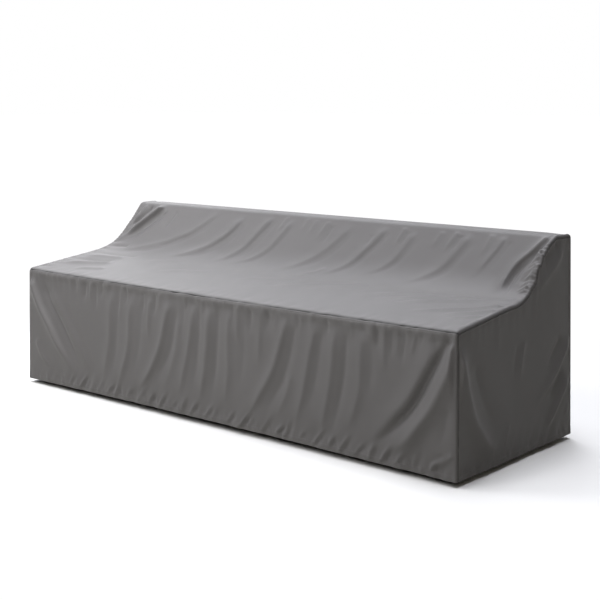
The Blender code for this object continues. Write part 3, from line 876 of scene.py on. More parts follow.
@dataclass
class Sheet:
    """A panel's cloth, as a grid of places with its flat pattern.

    The first axis of each array runs across the sheet's columns and the second along its rows, so that the
    outward side is on the left of the first, seen along the second. `tucked` marks the places where two turned
    edges would lie on each other, which are notched out.
    """

    name: str
    replaces: str
    places: Array
    pattern: Array
    doubled: Array
    # painted shade along the seams, from 0 to 1
    shade: Array
    tucked: Array
    area: float | None = None

    def flat_size(self) -> tuple[float, float]:
        """Width and length of the cut."""
        width, length = np.ptp(self.pattern.reshape(-1, 2), axis=0)
        return float(width), float(length)

    def normals(self) -> Array:
        """Works out which way the sheet faces.

        Returns:
            Outward normals at the grid's places.
        """
        normals = np.cross(np.gradient(self.places, axis=0), np.gradient(self.places, axis=1))
        return normals / np.maximum(np.linalg.norm(normals, axis=-1, keepdims=True), 1e-12)

    def build(self, material: bpy.types.Material) -> bpy.types.Object:
        """Makes the sheet's object.

        Args:
            material: The sheet's cloth.

        Returns:
            The object, with the cloth's thickness towards the inside.
        """
        last = np.array(self.places.shape[:2]) - 1
        shape = bmesh.new()
        bmesh.ops.create_grid(shape, x_segments=int(last[0]), y_segments=int(last[1]), size=1.0)
        for corner in shape.verts:
            column, row = (round((corner.co[k] + 1) / 2 * int(last[k])) for k in (0, 1))
            corner.tag = bool(self.tucked[column, row])
        notches = [face for face in shape.faces if all(corner.tag for corner in face.verts)]
        bmesh.ops.delete(shape, geom=notches, context="FACES")
        mesh = bpy.data.meshes.new(self.name)
        shape.to_mesh(mesh)
        shape.free()
        flat = np.empty(len(mesh.vertices) * 3)
        mesh.vertices.foreach_get("co", flat)
        cells = np.rint((flat.reshape(-1, 3)[:, :2] + 1) / 2 * last).astype(int)
        columns, rows = cells[:, 0], cells[:, 1]
        mesh.vertices.foreach_set("co", self.places[columns, rows].ravel())
        corners = np.empty(len(mesh.loops), dtype=np.int32)
        mesh.loops.foreach_get("vertex_index", corners)
        pattern = mesh.uv_layers.new(name="cut_pattern")
        pattern.data.foreach_set("uv", self.pattern[columns, rows][corners].ravel())
        for name, values in (("doubled_cloth", self.doubled), ("painted_seam_shade", self.shade)):
            attribute = mesh.attributes.new(name, "FLOAT", "POINT")
            attribute.data.foreach_set("value", values[columns, rows])
        mesh.shade_smooth()
        mesh.update()
        mesh.materials.append(material)
        sheet = bpy.data.objects.new(self.name, mesh)
        bpy.context.scene.collection.objects.link(sheet)
        thickness = sheet.modifiers.new("cloth_thickness", "SOLIDIFY")
        thickness.thickness = SEWING.cloth
        thickness.offset = -1.0
        return sheet


@dataclass
class Columns:
    """Columns of a long panel from the left end to the right one, round the rolled ends."""

    across: Array
    inset: Array
    angle: Array
    outward: Array
    end_depth: Array
    flat: Array

    @classmethod
    def lay_out(cls, cell: float, end_cell: float) -> "Columns":
        """Works the columns out from the cover's sizes.

        Args:
            cell: Width of the cells.
            end_cell: Width of the closer cells near the ends.

        Returns:
            The columns.
        """
        roll, width = COVER.end_roll, COVER.width
        half = [(0.0, roll + step.along, math.pi / 2, step.depth) for step in lip_steps(COVER.end_band, 1)[::-1]]
        half.append((0.0, roll, math.pi / 2, 0.0))
        for degrees in ROLL_TURNS:
            angle = math.radians(degrees)
            half.append((roll * (1 - math.sin(angle)), roll * (1 - math.cos(angle)), angle, 0.0))
        near = np.linspace(roll, CLOSE_REACH, round((CLOSE_REACH - roll) / end_cell) + 1)
        between = np.linspace(CLOSE_REACH, width - CLOSE_REACH, round((width - 2 * CLOSE_REACH) / cell) + 1)
        middle = np.concatenate([near, between[1:-1], width - near[::-1]])
        left = np.array(half)
        right = left[::-1] * (-1, 1, 1, 1) + (width, 0, 0, 0)
        rows = np.concatenate([left, np.c_[middle, np.zeros((len(middle), 3))], right])
        outward = np.r_[-np.ones(len(left)), np.zeros(len(middle)), np.ones(len(right))]
        steps = np.hypot(np.diff(rows[:, 0]), np.diff(rows[:, 1] + rows[:, 3]))
        return cls(rows[:, 0], rows[:, 1], rows[:, 2], outward, rows[:, 3], np.r_[0, np.cumsum(steps)])


def both_turned(column_depth: Array, row_depth: Array) -> Array:
    """Where a sheet's column and its row are both turned in, from how deep inside the cover they lie."""
    turned = SEWING.lip - 1e-6
    return (column_depth[:, None] > turned) & (row_depth > turned)


def end_fade(across: Array) -> Array:
    """Folds die out towards the rolled ends."""
    room = np.minimum(across, COVER.width - across) - COVER.end_roll
    return smooth_step(room, COVER.fold_ease)


def drape_long(
    name: str,
    node: str,
    steps: Sequence[Step],
    coordinate: Callable[[Array, Array], Array],
    relief: Callable[[Array, Array], Array],
    cells: tuple[float, float] = (0.0072, 0.0066),
    swell: Callable[[Array, Array], Array] | None = None,
    doubled: Callable[[Array], Array] = np.zeros_like,
    from_seam: Callable[[Array], Array] = np.zeros_like,
) -> Sheet:
    """Lays out a panel that runs from end to end.

    Args:
        name: The sheet's name.
        node: The solid that it replaces.
        steps: Its rows, along the section.
        coordinate: Gives the rows' own measure from their distance along the section and their height.
        relief: Height of the folds, from places across and the rows' own measure.
        cells: Width of its cells, and of those near its ends.
        swell: Height of swells that the rolled ends take too.
        doubled: How far the cloth is double, from the rows' own measure.
        from_seam: Distance from the nearest long seam, from the rows' own measure.

    Returns:
        The sheet.
    """
    columns = Columns.lay_out(*cells)
    found = [SECTION.at(step.along) for step in steps]
    back, up = (np.array([place[k] for place, _ in found]) for k in (0, 1))
    normal_back, normal_up = (np.array([normal[k] for _, normal in found]) for k in (0, 1))
    depth = np.array([step.depth for step in steps])
    along = np.array([step.along for step in steps])
    measure = coordinate(along, up)
    across, on = np.meshgrid(columns.across, measure, indexing="ij")

    height = relief(across, on) - depth
    inset = np.repeat(columns.inset[:, None], len(steps), axis=1)
    if swell:
        inset = inset - swell(across, on)
    high = np.clip(up / COVER.front_height, 0, 1)
    bow = (COVER.front_sag * high - COVER.hem_rise * (1 - high)) * np.clip(1 - back / COVER.crease_back, 0, 1)
    sag = np.sin(math.pi * columns.across / COVER.width)[:, None] * bow
    cosine, sine = np.cos(columns.angle)[:, None], (np.sin(columns.angle) * columns.outward)[:, None]
    inward = (columns.outward * columns.end_depth)[:, None]
    places = COVER.to_frame(
        across + sine * height - inward,
        back + normal_back * (cosine * height - inset),
        up + normal_up * (cosine * height - inset) - sag,
    )
    cut = np.r_[0, np.cumsum(np.hypot(np.diff(along), np.diff(depth)))]
    pattern = np.stack(np.meshgrid(columns.flat, cut, indexing="ij"), axis=-1)
    first, last = columns.flat[LIP_COUNT - 1], columns.flat[-LIP_COUNT]
    from_end = np.minimum(columns.flat - first, last - columns.flat)
    # Painted shade in and beside the seams, a darker colour where the cloth turns in
    shade = np.maximum(painted_seam_shade(from_seam(on)), END_SHADE * painted_seam_shade(from_end)[:, None])
    tucked = both_turned(columns.end_depth, depth)
    return Sheet(name, node, places, pattern, np.broadcast_to(doubled(on), on.shape).copy(), shade, tucked)


def doubled_cloth(from_seam: Array, up: Array) -> Array:
    """1 where the cloth is double, beside a seam or in the hem, and 0 elsewhere."""
    beside_seam = smooth_step(SEWING.welt_width - from_seam, 0.002)
    return np.maximum(beside_seam, smooth_step(SEWING.hem_turn - up, 0.003))


@dataclass
class LongPanels:
    """The front, top and back panels: their seams' heights, patterns of noise, cells and loose cloth."""

    seam_up: float = COVER.front_height - COVER.edge_radius * (1 - math.sqrt(0.5))
    back_seam_up: float = COVER.back_height - COVER.edge_radius * (1 - math.sqrt(0.5))
    front_layer: float = 1.5
    top_layer: float = 21.5
    back_layer: float = 51.5
    front_cells: tuple[float, float] = (0.0058, 0.0050)
    top_cells: tuple[float, float] = (0.0082, 0.0046)
    slope_foot: float = 0.45
    slope_head: float = 0.78
    seat_cell: float = 0.0090
    slope_cell: float = 0.0049
    strip_cell: float = 0.0125
    back_cell: float = 0.0076
    front_gathers: float = 1.3
    top_gathers: float = 0.5
    strip_calm: float = 0.25
    end_welt: float = 0.0015
    end_welt_width: float = 0.019
    gathers: ShortGathers = field(default_factory=ShortGathers)
    puckers: HemPuckers = field(default_factory=HemPuckers)

    def front_relief(self, across: Array, up: Array) -> Array:
        """Works out the front panel's folds, creases, puckers and sewn edges.

        Args:
            across: Places across the panel.
            up: Places up from the hem, in an array of the same shape.

        Returns:
            Heights there.
        """
        layer, from_seam = self.front_layer, self.seam_up - up
        ease = smooth_step(from_seam, COVER.fold_ease)
        folds = folds_relief(FRONT_FOLDS + FRONT_CREASES, *wander(across, up, layer)) * hem_hold(up) * ease
        loose = self.puckers.relief(across, up) + soft_waves(across, up, layer + 3) * ease
        loose = loose + self.front_gathers * seam_puckers(across, from_seam, layer + 7)
        loose = loose + hem_puckers(across, up, layer + 11) + seam_tuck(across, from_seam, layer + 15)
        return (folds + loose) * end_fade(across) + welt_relief(from_seam) + hem_relief(up)

    def top_relief(self, across: Array, along: Array) -> Array:
        """Works out the top panel's folds, creases and puckers.

        Args:
            across: Places across the panel.
            along: Places along it from the front seam, in an array of the same shape.

        Returns:
            Heights there.
        """
        layer, length = self.top_layer, SECTION.back_seam - SECTION.front_seam
        creased = TOP_FOLDS + TOP_CREASES + self.gathers.folds()
        folds = folds_relief(creased, *wander(across, along, layer))
        loose = soft_waves(across, along, layer + 3) * smooth_step(np.minimum(along, length - along), 0.03)
        loose = loose + self.top_gathers * seam_puckers(across, along, layer + 7)
        loose = loose * (self.strip_calm + (1 - self.strip_calm) * smooth_step(length - along, 0.14))
        to_end = np.minimum(across, COVER.width - across)
        side = np.where(across > COVER.width / 2, 37.5, 41.5)
        end_puckers = seam_puckers(along + side, to_end, layer + 13) * smooth_step(to_end - 0.004, 0.012)
        end_welt = self.end_welt * smooth_step(self.end_welt_width - to_end, 0.005)
        return (folds + loose) * end_fade(across) + end_puckers + end_welt

    def back_relief(self, across: Array, up: Array) -> Array:
        """Works out the back panel's folds, creases, puckers and sewn edges.

        Args:
            across: Places across the panel.
            up: Places up from the hem, in an array of the same shape.

        Returns:
            Heights there.
        """
        layer, from_seam = self.back_layer, self.back_seam_up - up
        ease = smooth_step(from_seam, COVER.fold_ease)
        folds = folds_relief(BACK_FOLDS + BACK_CREASES, *wander(across, up, layer)) * hem_hold(up) * ease
        loose = soft_waves(across, up, layer + 3) * ease + hem_puckers(across, up, layer + 11)
        loose = loose + seam_puckers(across, from_seam, layer + 7) * smooth_step(from_seam - 0.004, 0.020)
        return (folds + loose) * end_fade(across) + welt_relief(from_seam) + hem_relief(up)

    def front(self) -> Sheet:
        """Lays out the front panel, from its hem to the front seam.

        Returns:
            The front sheet.
        """
        seam = SECTION.front_seam
        steps = hem_side() + even_steps(HEM_STEPS[-1], seam - SEAM_STEPS[0]) + seam_side(seam, 1)
        return drape_long(
            "front_sheet",
            "front_panel",
            steps,
            lambda along, up: along - (seam - self.seam_up),
            self.front_relief,
            cells=self.front_cells,
            doubled=lambda up: doubled_cloth(self.seam_up - up, up),
            from_seam=lambda up: self.seam_up - up,
        )

    def top(self) -> Sheet:
        """Lays out the top panel, from the front seam to the back seam.

        Returns:
            The top sheet.
        """
        first, last = SECTION.front_seam, SECTION.back_seam
        foot, head = first + self.slope_foot, first + self.slope_head
        steps = lip_steps(first, -1)[::-1]
        steps += even_steps(steps[-1].along, foot, self.seat_cell) + [Step(foot)]
        steps += even_steps(foot, head, self.slope_cell) + [Step(head)]
        steps += even_steps(head, last - SEWING.lip, self.strip_cell) + lip_steps(last, 1)
        return drape_long(
            "top_sheet",
            "top_panel",
            steps,
            lambda along, up: along - first,
            self.top_relief,
            cells=self.top_cells,
            swell=END_LIFT.relief,
            from_seam=lambda along: np.minimum(along, last - first - along),
        )

    def back(self) -> Sheet:
        """Lays out the back panel, from the back seam to its hem.

        Returns:
            The back sheet.
        """
        seam, hem = SECTION.back_seam, SECTION.length
        down = hem_side() + even_steps(HEM_STEPS[-1], hem - seam - SEAM_STEPS[0], self.back_cell)
        steps = seam_side(seam, -1)[::-1] + [Step(hem - step.along, step.depth) for step in down[::-1]]
        return drape_long(
            "back_sheet",
            "back_panel",
            steps,
            lambda along, up: hem - along - (hem - seam - self.back_seam_up),
            self.back_relief,
            doubled=lambda up: doubled_cloth(self.back_seam_up - up, up),
            from_seam=lambda up: self.back_seam_up - up,
        )


@dataclass
class EndPanel:
    """An end panel, whose upper edge follows the section."""

    end: End
    folds: Sequence[Fold]
    creases: Sequence[Fold]
    layer: float
    rows: int = 104
    edge_places: int = 700
    steepest: float = 0.9
    upper_puckers: float = 0.8
    side_puckers: float = 0.45

    def outline(self) -> tuple[Array, Array]:
        """Follows the panel's upper edge, with its swells.

        Returns:
            Places back and up along it.
        """
        distances = np.linspace(SECTION.starts[1], SECTION.starts[-2], self.edge_places)
        across = np.full(self.edge_places, self.end.across)
        inset = COVER.end_inset + SEWING.seam_gap
        lifts = END_LIFT.relief(across, distances - SECTION.front_seam) - inset
        found = [(*SECTION.at(distance), lift) for distance, lift in zip(distances, lifts)]
        back = np.array([place.x + normal.x * lift for place, normal, lift in found])
        up = np.array([place.y + normal.y * lift for place, normal, lift in found])
        return back, up

    def drape(self) -> Sheet:
        """Lays the panel out, column by column from front to back.

        Returns:
            The sheet.
        """
        edge_back, edge_up = self.outline()
        first, last = edge_back[0], edge_back[-1]
        columns = seam_side(first, -1)[::-1]
        columns += even_steps(first + SEAM_STEPS[0], last - SEAM_STEPS[0]) + seam_side(last, 1)
        back = np.array([step.along for step in columns])
        column_depth = np.array([step.depth for step in columns])
        inside = np.clip(back, first, last)
        top = np.interp(inside, edge_back, edge_up)
        slope = np.arctan(np.gradient(top, np.linspace(0, last - first, len(top))))

        low = hem_side()
        high = seam_side(0.0, 1)
        shares = np.linspace(0, 1, self.rows)[1:-1]
        low_up, high_up = HEM_STEPS[-1], -SEAM_STEPS[0]
        middle = low_up + (top[:, None] + high_up - low_up) * shares
        hem_rows = np.tile([step.along for step in low], (len(back), 1))
        up = np.concatenate([hem_rows, middle, top[:, None] + [step.along for step in high]], axis=1)
        row_depth = np.r_[[s.depth for s in low], np.zeros(len(shares)), [s.depth for s in high]]
        depth = column_depth[:, None] + row_depth
        on = np.repeat(inside[:, None], up.shape[1], axis=1)
        from_edge = (top[:, None] - up) * np.cos(np.clip(slope, -self.steepest, self.steepest))[:, None]
        from_side = np.minimum(on - first, last - on)
        from_seam = np.minimum(from_side, from_edge)
        height = self.relief(on, up, from_seam, from_edge < from_side) - depth
        across = self.end.across + self.end.value * height
        cut_back = np.r_[0, np.cumsum(np.hypot(np.diff(back), np.diff(column_depth)))]
        cut_up = np.cumsum(np.hypot(np.diff(up, axis=1), np.diff(row_depth)), axis=1)
        cut_up = np.concatenate([np.zeros((len(back), 1)), cut_up], axis=1)
        pattern = np.stack([np.repeat(cut_back[:, None], up.shape[1], axis=1), cut_up], axis=-1)
        places = COVER.to_frame(across, on, up)
        # Painted shade in and beside the seams, at part strength
        doubled, shade = doubled_cloth(from_seam, up), END_SHADE * painted_seam_shade(from_seam)
        area = float(np.trapz(cut_up[:, -1], cut_back))
        laid = (places, pattern, doubled, shade, both_turned(column_depth, row_depth))
        if self.end is End.LEFT:
            laid = tuple(values[::-1] for values in laid)
        side = self.end.name.lower()
        return Sheet(f"{side}_end_sheet", f"{side}_end_panel", *laid, area)

    def relief(self, back: Array, up: Array, from_seam: Array, upper: Array) -> Array:
        """Works out the panel's folds, creases, puckers and sewn edges.

        Args:
            back: Places back from the front face.
            up: Places up from the hem.
            from_seam: Distances from the nearest seam.
            upper: Where that seam is the one along the upper edge.

        Returns:
            Heights there, outwards.
        """
        layer, ease = self.layer, smooth_step(from_seam, COVER.fold_ease)
        creased = (*self.folds, *self.creases)
        folds = folds_relief(creased, *wander(back, up, layer)) * hem_hold(up) * ease
        along_seam = np.where(upper, back, up + 5.0)
        share = np.where(upper, self.upper_puckers, self.side_puckers)
        loose = soft_waves(back, up, layer + 4) * ease + share * seam_puckers(along_seam, from_seam, layer + 8)
        loose = loose + hem_puckers(back, up, layer + 12) * smooth_step(from_seam, 0.02)
        return folds + loose + welt_relief(from_seam) + hem_relief(up)


# ---------------------------------------------------------------------------------------------- stitches


@dataclass(frozen=True)
class Thread:
    """A row of lock stitches."""

    pitch: float = 0.0052
    length: float = 0.0038
    width: float = 0.0009
    height: float = 0.0007

    def sew(self, shape: bmesh.types.BMesh, line: Array, normals: Array) -> int:
        """Adds one row of stitches.

        Args:
            shape: What to add them to.
            line: Places along the row.
            normals: Outward normals there.

        Returns:
            How many stitches there are.
        """
        distance = np.r_[0, np.cumsum(np.linalg.norm(np.diff(line, axis=0), axis=1))]
        count = int(distance[-1] / self.pitch)
        at = (np.arange(count) + 0.5) * self.pitch
        places, ahead, out = (
            np.stack([np.interp(at + step, distance, values[:, k]) for k in range(3)], axis=1)
            for values, step in ((line, 0.0), (line, 0.5 * self.pitch), (normals, 0.0))
        )
        size = Matrix.Diagonal((self.length / 2, self.width / 2, self.height / 2, 1.0))
        for place, onward, normal in zip(places, ahead, out):
            run = Vector(onward - place).normalized()
            side = Vector(normal).cross(run).normalized()
            turn = Matrix((run, side, run.cross(side))).transposed().to_4x4()
            stand = Matrix.Translation(Vector(place)) @ turn @ size
            bmesh.ops.create_icosphere(shape, subdivisions=1, radius=1.0, matrix=stand)
        return count


@dataclass
class Stitching(ABC):
    """Rows of stitches on one sheet, as one piece."""

    sheet: Sheet
    seam_row: int
    hem_row: int
    thread: Thread = field(default_factory=Thread)

    @abstractmethod
    def rows(self) -> list[tuple[Array, Array]]:
        """Lines and normals of the sheet's rows of stitches, read from its grid."""

    def build(self, material: bpy.types.Material) -> bpy.types.Object:
        """Makes the stitches' object.

        Args:
            material: The thread's.

        Returns:
            The object, named after its sheet.
        """
        whole = bmesh.new()
        for line, normals in self.rows():
            row = bmesh.new()
            self.thread.sew(row, line, normals)
            part = bpy.data.meshes.new("row_of_stitches")
            row.to_mesh(part)
            row.free()
            whole.from_mesh(part)
            bpy.data.meshes.remove(part)
        name = stitches_of(self.sheet.name)
        mesh = bpy.data.meshes.new(name)
        whole.to_mesh(mesh)
        whole.free()
        mesh.shade_smooth()
        mesh.materials.append(material)
        stitches = bpy.data.objects.new(name, mesh)
        bpy.context.scene.collection.objects.link(stitches)
        return stitches


def stitches_of(sheet_name: str) -> str:
    """The name of a sheet's stitches."""
    return sheet_name.replace("_sheet", "_stitches")


@dataclass
class LongStitching(Stitching):
    """A long panel's stitches: one row beside its seam and one in its hem."""

    def rows(self) -> list[tuple[Array, Array]]:
        """Reads the rows from the sheet's grid, between its rolled ends.

        Returns:
            The row beside the seam and the row in the hem.
        """
        normals = self.sheet.normals()
        inner = slice(LIP_COUNT + 1, -LIP_COUNT - 1)
        return [(self.sheet.places[inner, k], normals[inner, k]) for k in (self.seam_row, self.hem_row)]


@dataclass
class EndStitching(Stitching):
    """An end panel's stitches: one row beside its seams, up, over and down, and one in its hem."""

    side_column: int = 0

    def rows(self) -> list[tuple[Array, Array]]:
        """Reads the rows from the sheet's grid.

        Returns:
            The rows up the two sides from the hem's edge, over the top, and in the hem.
        """
        first, last = self.side_column, self.sheet.places.shape[0] - 1 - self.side_column
        hem_edge = self.hem_row - 1 - HEM_STEPS.index(SEWING.hem_stitch_up)
        side, over = slice(hem_edge, self.seam_row), slice(first, last + 1)
        cuts = ((first, side), (last, side), (over, self.seam_row), (over, self.hem_row))
        normals = self.sheet.normals()
        return [(self.sheet.places[cut], normals[cut]) for cut in cuts]


# ---------------------------------------------------------------------------------------------- finishes


class Nodes:
    """A node tree, with short calls to add and join its nodes."""

    def __init__(self, tree: bpy.types.NodeTree) -> None:
        """Keeps the tree."""
        self.tree = tree

    def add(self, kind: str, **settings: object) -> bpy.types.Node:
        """Adds a node.

        Args:
            kind: The node's type.
            **settings: Its properties.

        Returns:
            The node.
        """
        node = self.tree.nodes.new(kind)
        for name, value in settings.items():
            setattr(node, name, value)
        return node

    def feed(self, source: object, target: bpy.types.NodeSocket) -> None:
        """Joins a socket to another, or sets a plain value on it.

        Args:
            source: The socket or the value.
            target: The input that takes it.
        """
        if isinstance(source, bpy.types.NodeSocket):
            self.tree.links.new(source, target)
        else:
            target.default_value = source

    def math(self, operation: str, *values: object) -> bpy.types.NodeSocket:
        """Works out a sum on sockets or numbers.

        Args:
            operation: The kind of sum.
            *values: Its sockets or numbers.

        Returns:
            The result's socket.
        """
        node = self.add("ShaderNodeMath", operation=operation)
        for value, socket in zip(values, node.inputs):
            self.feed(value, socket)
        return node.outputs[0]

    def mix(self, factor: object, first: object, second: object) -> bpy.types.NodeSocket:
        """Blends two numbers.

        Args:
            factor: Share of the second one.
            first: The first number or its socket.
            second: The second number or its socket.

        Returns:
            The blend's socket.
        """
        node = self.add("ShaderNodeMix", data_type="FLOAT")
        for value, number in ((factor, 0), (first, 2), (second, 3)):
            self.feed(value, node.inputs[number])
        return node.outputs[0]

    def noise(self, place: bpy.types.NodeSocket, scale: float, detail: float) -> bpy.types.NodeSocket:
        """Makes noise.

        Args:
            place: The socket of the places that it is read at.
            scale: How many bumps there are to a metre.
            detail: How many times finer noise is added.

        Returns:
            A socket that gives 0 to 1.
        """
        node = self.add("ShaderNodeTexNoise")
        self.feed(place, node.inputs["Vector"])
        node.inputs["Scale"].default_value = scale
        node.inputs["Detail"].default_value = detail
        return node.outputs["Fac"]

    def scaled(self, colour: tuple[float, float, float], tone: bpy.types.NodeSocket) -> bpy.types.NodeSocket:
        """Makes a colour lighter or darker.

        Args:
            colour: The colour.
            tone: The socket that it is multiplied by.

        Returns:
            The result's socket.
        """
        node = self.add("ShaderNodeVectorMath", operation="SCALE")
        node.inputs[0].default_value = colour
        self.feed(tone, node.inputs["Scale"])
        return node.outputs[0]

    def placed(self, group: bpy.types.NodeTree, **inputs: object) -> bpy.types.Node:
        """Places a node group, its inputs given by name with _ for a space.

        Args:
            group: The group.
            **inputs: Sockets or values for its inputs.

        Returns:
            The group's node.
        """
        node = self.add("ShaderNodeGroup", node_tree=group)
        for name, source in inputs.items():
            self.feed(source, node.inputs[name.replace("_", " ")])
        return node


def new_group(name: str, inputs: dict[str, tuple[str, object]], outputs: dict[str, str]) -> Nodes:
    """A shader node group with named sockets.

    Args:
        name: The group's name.
        inputs: Kind and starting value of each input.
        outputs: Kind of each output.

    Returns:
        Its nodes.
    """
    tree = bpy.data.node_groups.new(name, "ShaderNodeTree")
    for socket, (kind, value) in inputs.items():
        made = tree.interface.new_socket(socket, in_out="INPUT", socket_type=kind)
        if value is not None:
            made.default_value = value
    for socket, kind in outputs.items():
        tree.interface.new_socket(socket, in_out="OUTPUT", socket_type=kind)
    return Nodes(tree)


WEAVE_ROUNDNESS = 0.4  # how softly a thread dips under the next, from 0, not at all, to 1
CLOUD_SHARE = 0.65  # share of the broad clouds in the cloth's unevenness of tone


def weave_group() -> bpy.types.NodeTree:
    """Plain weave: warp and weft threads that pass over each other by turns.

    Returns:
        The group, which gives the threads' height and where the weft is on top.
    """
    nodes = new_group(
        "plain_weave",
        {"Pattern": ("NodeSocketVector", None), "Thread Pitch": ("NodeSocketFloat", 0.0006)},
        {"Height": "NodeSocketFloat", "Weft": "NodeSocketFloat"},
    )
    given = nodes.add("NodeGroupInput")
    split = nodes.add("ShaderNodeSeparateXYZ")
    nodes.feed(given.outputs["Pattern"], split.inputs[0])
    warp = nodes.math("DIVIDE", split.outputs[0], given.outputs["Thread Pitch"])
    weft = nodes.math("DIVIDE", split.outputs[1], given.outputs["Thread Pitch"])
    total = nodes.math("ADD", nodes.math("FLOOR", warp), nodes.math("FLOOR", weft))
    over = nodes.math("FLOORED_MODULO", total, 2.0)
    across_warp, across_weft = (
        nodes.math("ABSOLUTE", nodes.math("SINE", nodes.math("MULTIPLY", threads, math.pi)))
        for threads in (warp, weft)
    )
    warp_over, weft_over = (
        nodes.math("MULTIPLY", upper, nodes.math("POWER", lower, WEAVE_ROUNDNESS))
        for upper, lower in ((across_warp, across_weft), (across_weft, across_warp))
    )
    given_out = nodes.add("NodeGroupOutput")
    nodes.feed(nodes.mix(over, warp_over, weft_over), given_out.inputs["Height"])
    nodes.feed(over, given_out.inputs["Weft"])
    return nodes.tree


def weathering_group() -> bpy.types.NodeTree:
    """Slow unevenness of tone: faint dust that settles in patches, and cloudy fading.

    Returns:
        The group, which gives a tone of about 1.
    """
    nodes = new_group(
        "weathering",
        {"Place": ("NodeSocketVector", None), "Amount": ("NodeSocketFloat", 0.1)},
        {"Tone": "NodeSocketFloat"},
    )
    given = nodes.add("NodeGroupInput")
    cloudy = nodes.noise(given.outputs["Place"], scale=3.2, detail=4.0)
    patchy = nodes.noise(given.outputs["Place"], scale=21.0, detail=3.0)
    both = nodes.mix(CLOUD_SHARE, patchy, cloudy)
    shift = nodes.math("MULTIPLY", nodes.math("SUBTRACT", both, 0.5), given.outputs["Amount"])
    given_out = nodes.add("NodeGroupOutput")
    nodes.feed(nodes.math("ADD", shift, 1.0), given_out.inputs["Tone"])
    return nodes.tree


@dataclass(frozen=True)
class ClothFinish:
    """Coated polyester in a plain weave."""

    colour: tuple[float, float, float] = (0.1290, 0.1245, 0.1266)
    roughness: float = 0.56
    thread_pitch: float = 0.0006
    weave_depth: float = 0.00006
    weave_strength: float = 0.5
    warp_tone: float = 1.03
    weft_tone: float = 0.97
    # Painted shade in the weave's dips and painted light on its raised threads: colour keyed to the threads'
    # height
    dip_shade_tone: float = 0.86
    crest_light_tone: float = 1.05
    tone_shift: float = 0.16
    doubled_tone: float = 0.03
    # Colour where the painted seam shade is full: darker, for the shade in the seam's groove
    seam_tone: float = 0.34
    wear_gloss: float = 0.5
    sheen: float = 0.12
    sheen_roughness: float = 0.45
    specular: float = 0.45

    def build(self, weave: bpy.types.NodeTree, weathering: bpy.types.NodeTree) -> bpy.types.Material:
        """Makes the cloth's material.

        Args:
            weave: The plain weave group.
            weathering: The weathering group.

        Returns:
            The material.
        """
        material = bpy.data.materials.new("cover_cloth")
        material.use_nodes = True
        nodes = Nodes(material.node_tree)
        shader = material.node_tree.nodes["Principled BSDF"]
        pattern = nodes.add("ShaderNodeUVMap", uv_map="cut_pattern").outputs["UV"]
        place = nodes.add("ShaderNodeTexCoord").outputs["Object"]
        doubled = nodes.add("ShaderNodeAttribute", attribute_name="doubled_cloth").outputs["Fac"]
        # The painted seam shade, which darkens the colour in and beside the seams
        shade = nodes.add("ShaderNodeAttribute", attribute_name="painted_seam_shade").outputs["Fac"]
        threads = nodes.placed(weave, Pattern=pattern, Thread_Pitch=self.thread_pitch)
        worn = nodes.placed(weathering, Place=place, Amount=self.tone_shift).outputs["Tone"]

        tone = worn
        for factor in (
            nodes.math("MULTIPLY_ADD", doubled, self.doubled_tone, 1.0),
            nodes.mix(threads.outputs["Weft"], self.warp_tone, self.weft_tone),
            # painted shade in the weave's dips, painted light on its raised threads
            nodes.mix(threads.outputs["Height"], self.dip_shade_tone, self.crest_light_tone),
            # painted shade in the seams
            nodes.mix(shade, 1.0, self.seam_tone),
        ):
            tone = nodes.math("MULTIPLY", tone, factor)
        nodes.feed(nodes.scaled(self.colour, tone), shader.inputs["Base Color"])
        rough = nodes.math("MULTIPLY_ADD", worn, -self.wear_gloss, self.roughness + self.wear_gloss)
        nodes.feed(rough, shader.inputs["Roughness"])

        bump = nodes.add("ShaderNodeBump")
        bump.inputs["Strength"].default_value = self.weave_strength
        bump.inputs["Distance"].default_value = self.weave_depth
        nodes.feed(threads.outputs["Height"], bump.inputs["Height"])
        nodes.feed(bump.outputs["Normal"], shader.inputs["Normal"])
        shader.inputs["Sheen Weight"].default_value = self.sheen
        shader.inputs["Sheen Roughness"].default_value = self.sheen_roughness
        shader.inputs["Specular IOR Level"].default_value = self.specular
        return material


@dataclass(frozen=True)
class ThreadFinish:
    """Bonded polyester thread, a little shinier than the cloth."""

    colour: tuple[float, float, float] = (0.110, 0.108, 0.105)
    roughness: float = 0.42
    tone_shift: float = 0.20

    def build(self, weathering: bpy.types.NodeTree) -> bpy.types.Material:
        """Makes the thread's material.

        Args:
            weathering: The weathering group.

        Returns:
            The material.
        """
        material = bpy.data.materials.new("cover_thread")
        material.use_nodes = True
        nodes = Nodes(material.node_tree)
        shader = material.node_tree.nodes["Principled BSDF"]
        place = nodes.add("ShaderNodeTexCoord").outputs["Object"]
        worn = nodes.placed(weathering, Place=place, Amount=self.tone_shift).outputs["Tone"]
        nodes.feed(nodes.scaled(self.colour, worn), shader.inputs["Base Color"])
        shader.inputs["Roughness"].default_value = self.roughness
        return material


# ---------------------------------------------------------------------------------------------- studio


@dataclass(frozen=True)
class Sun:
    """A distant light."""

    name: str
    towards: tuple[float, float, float]
    strength: float
    colour: tuple[float, float, float] = (0.945, 0.955, 1.0)
    spread: float = 35.0

    def build(self) -> None:
        """Makes the light, shining along `towards`."""
        data = bpy.data.lights.new(self.name, "SUN")
        data.energy = self.strength
        data.angle = math.radians(self.spread)
        data.color = self.colour
        lamp = bpy.data.objects.new(self.name, data)
        lamp.rotation_euler = Vector(self.towards).to_track_quat("-Z", "Y").to_euler()
        bpy.context.scene.collection.objects.link(lamp)


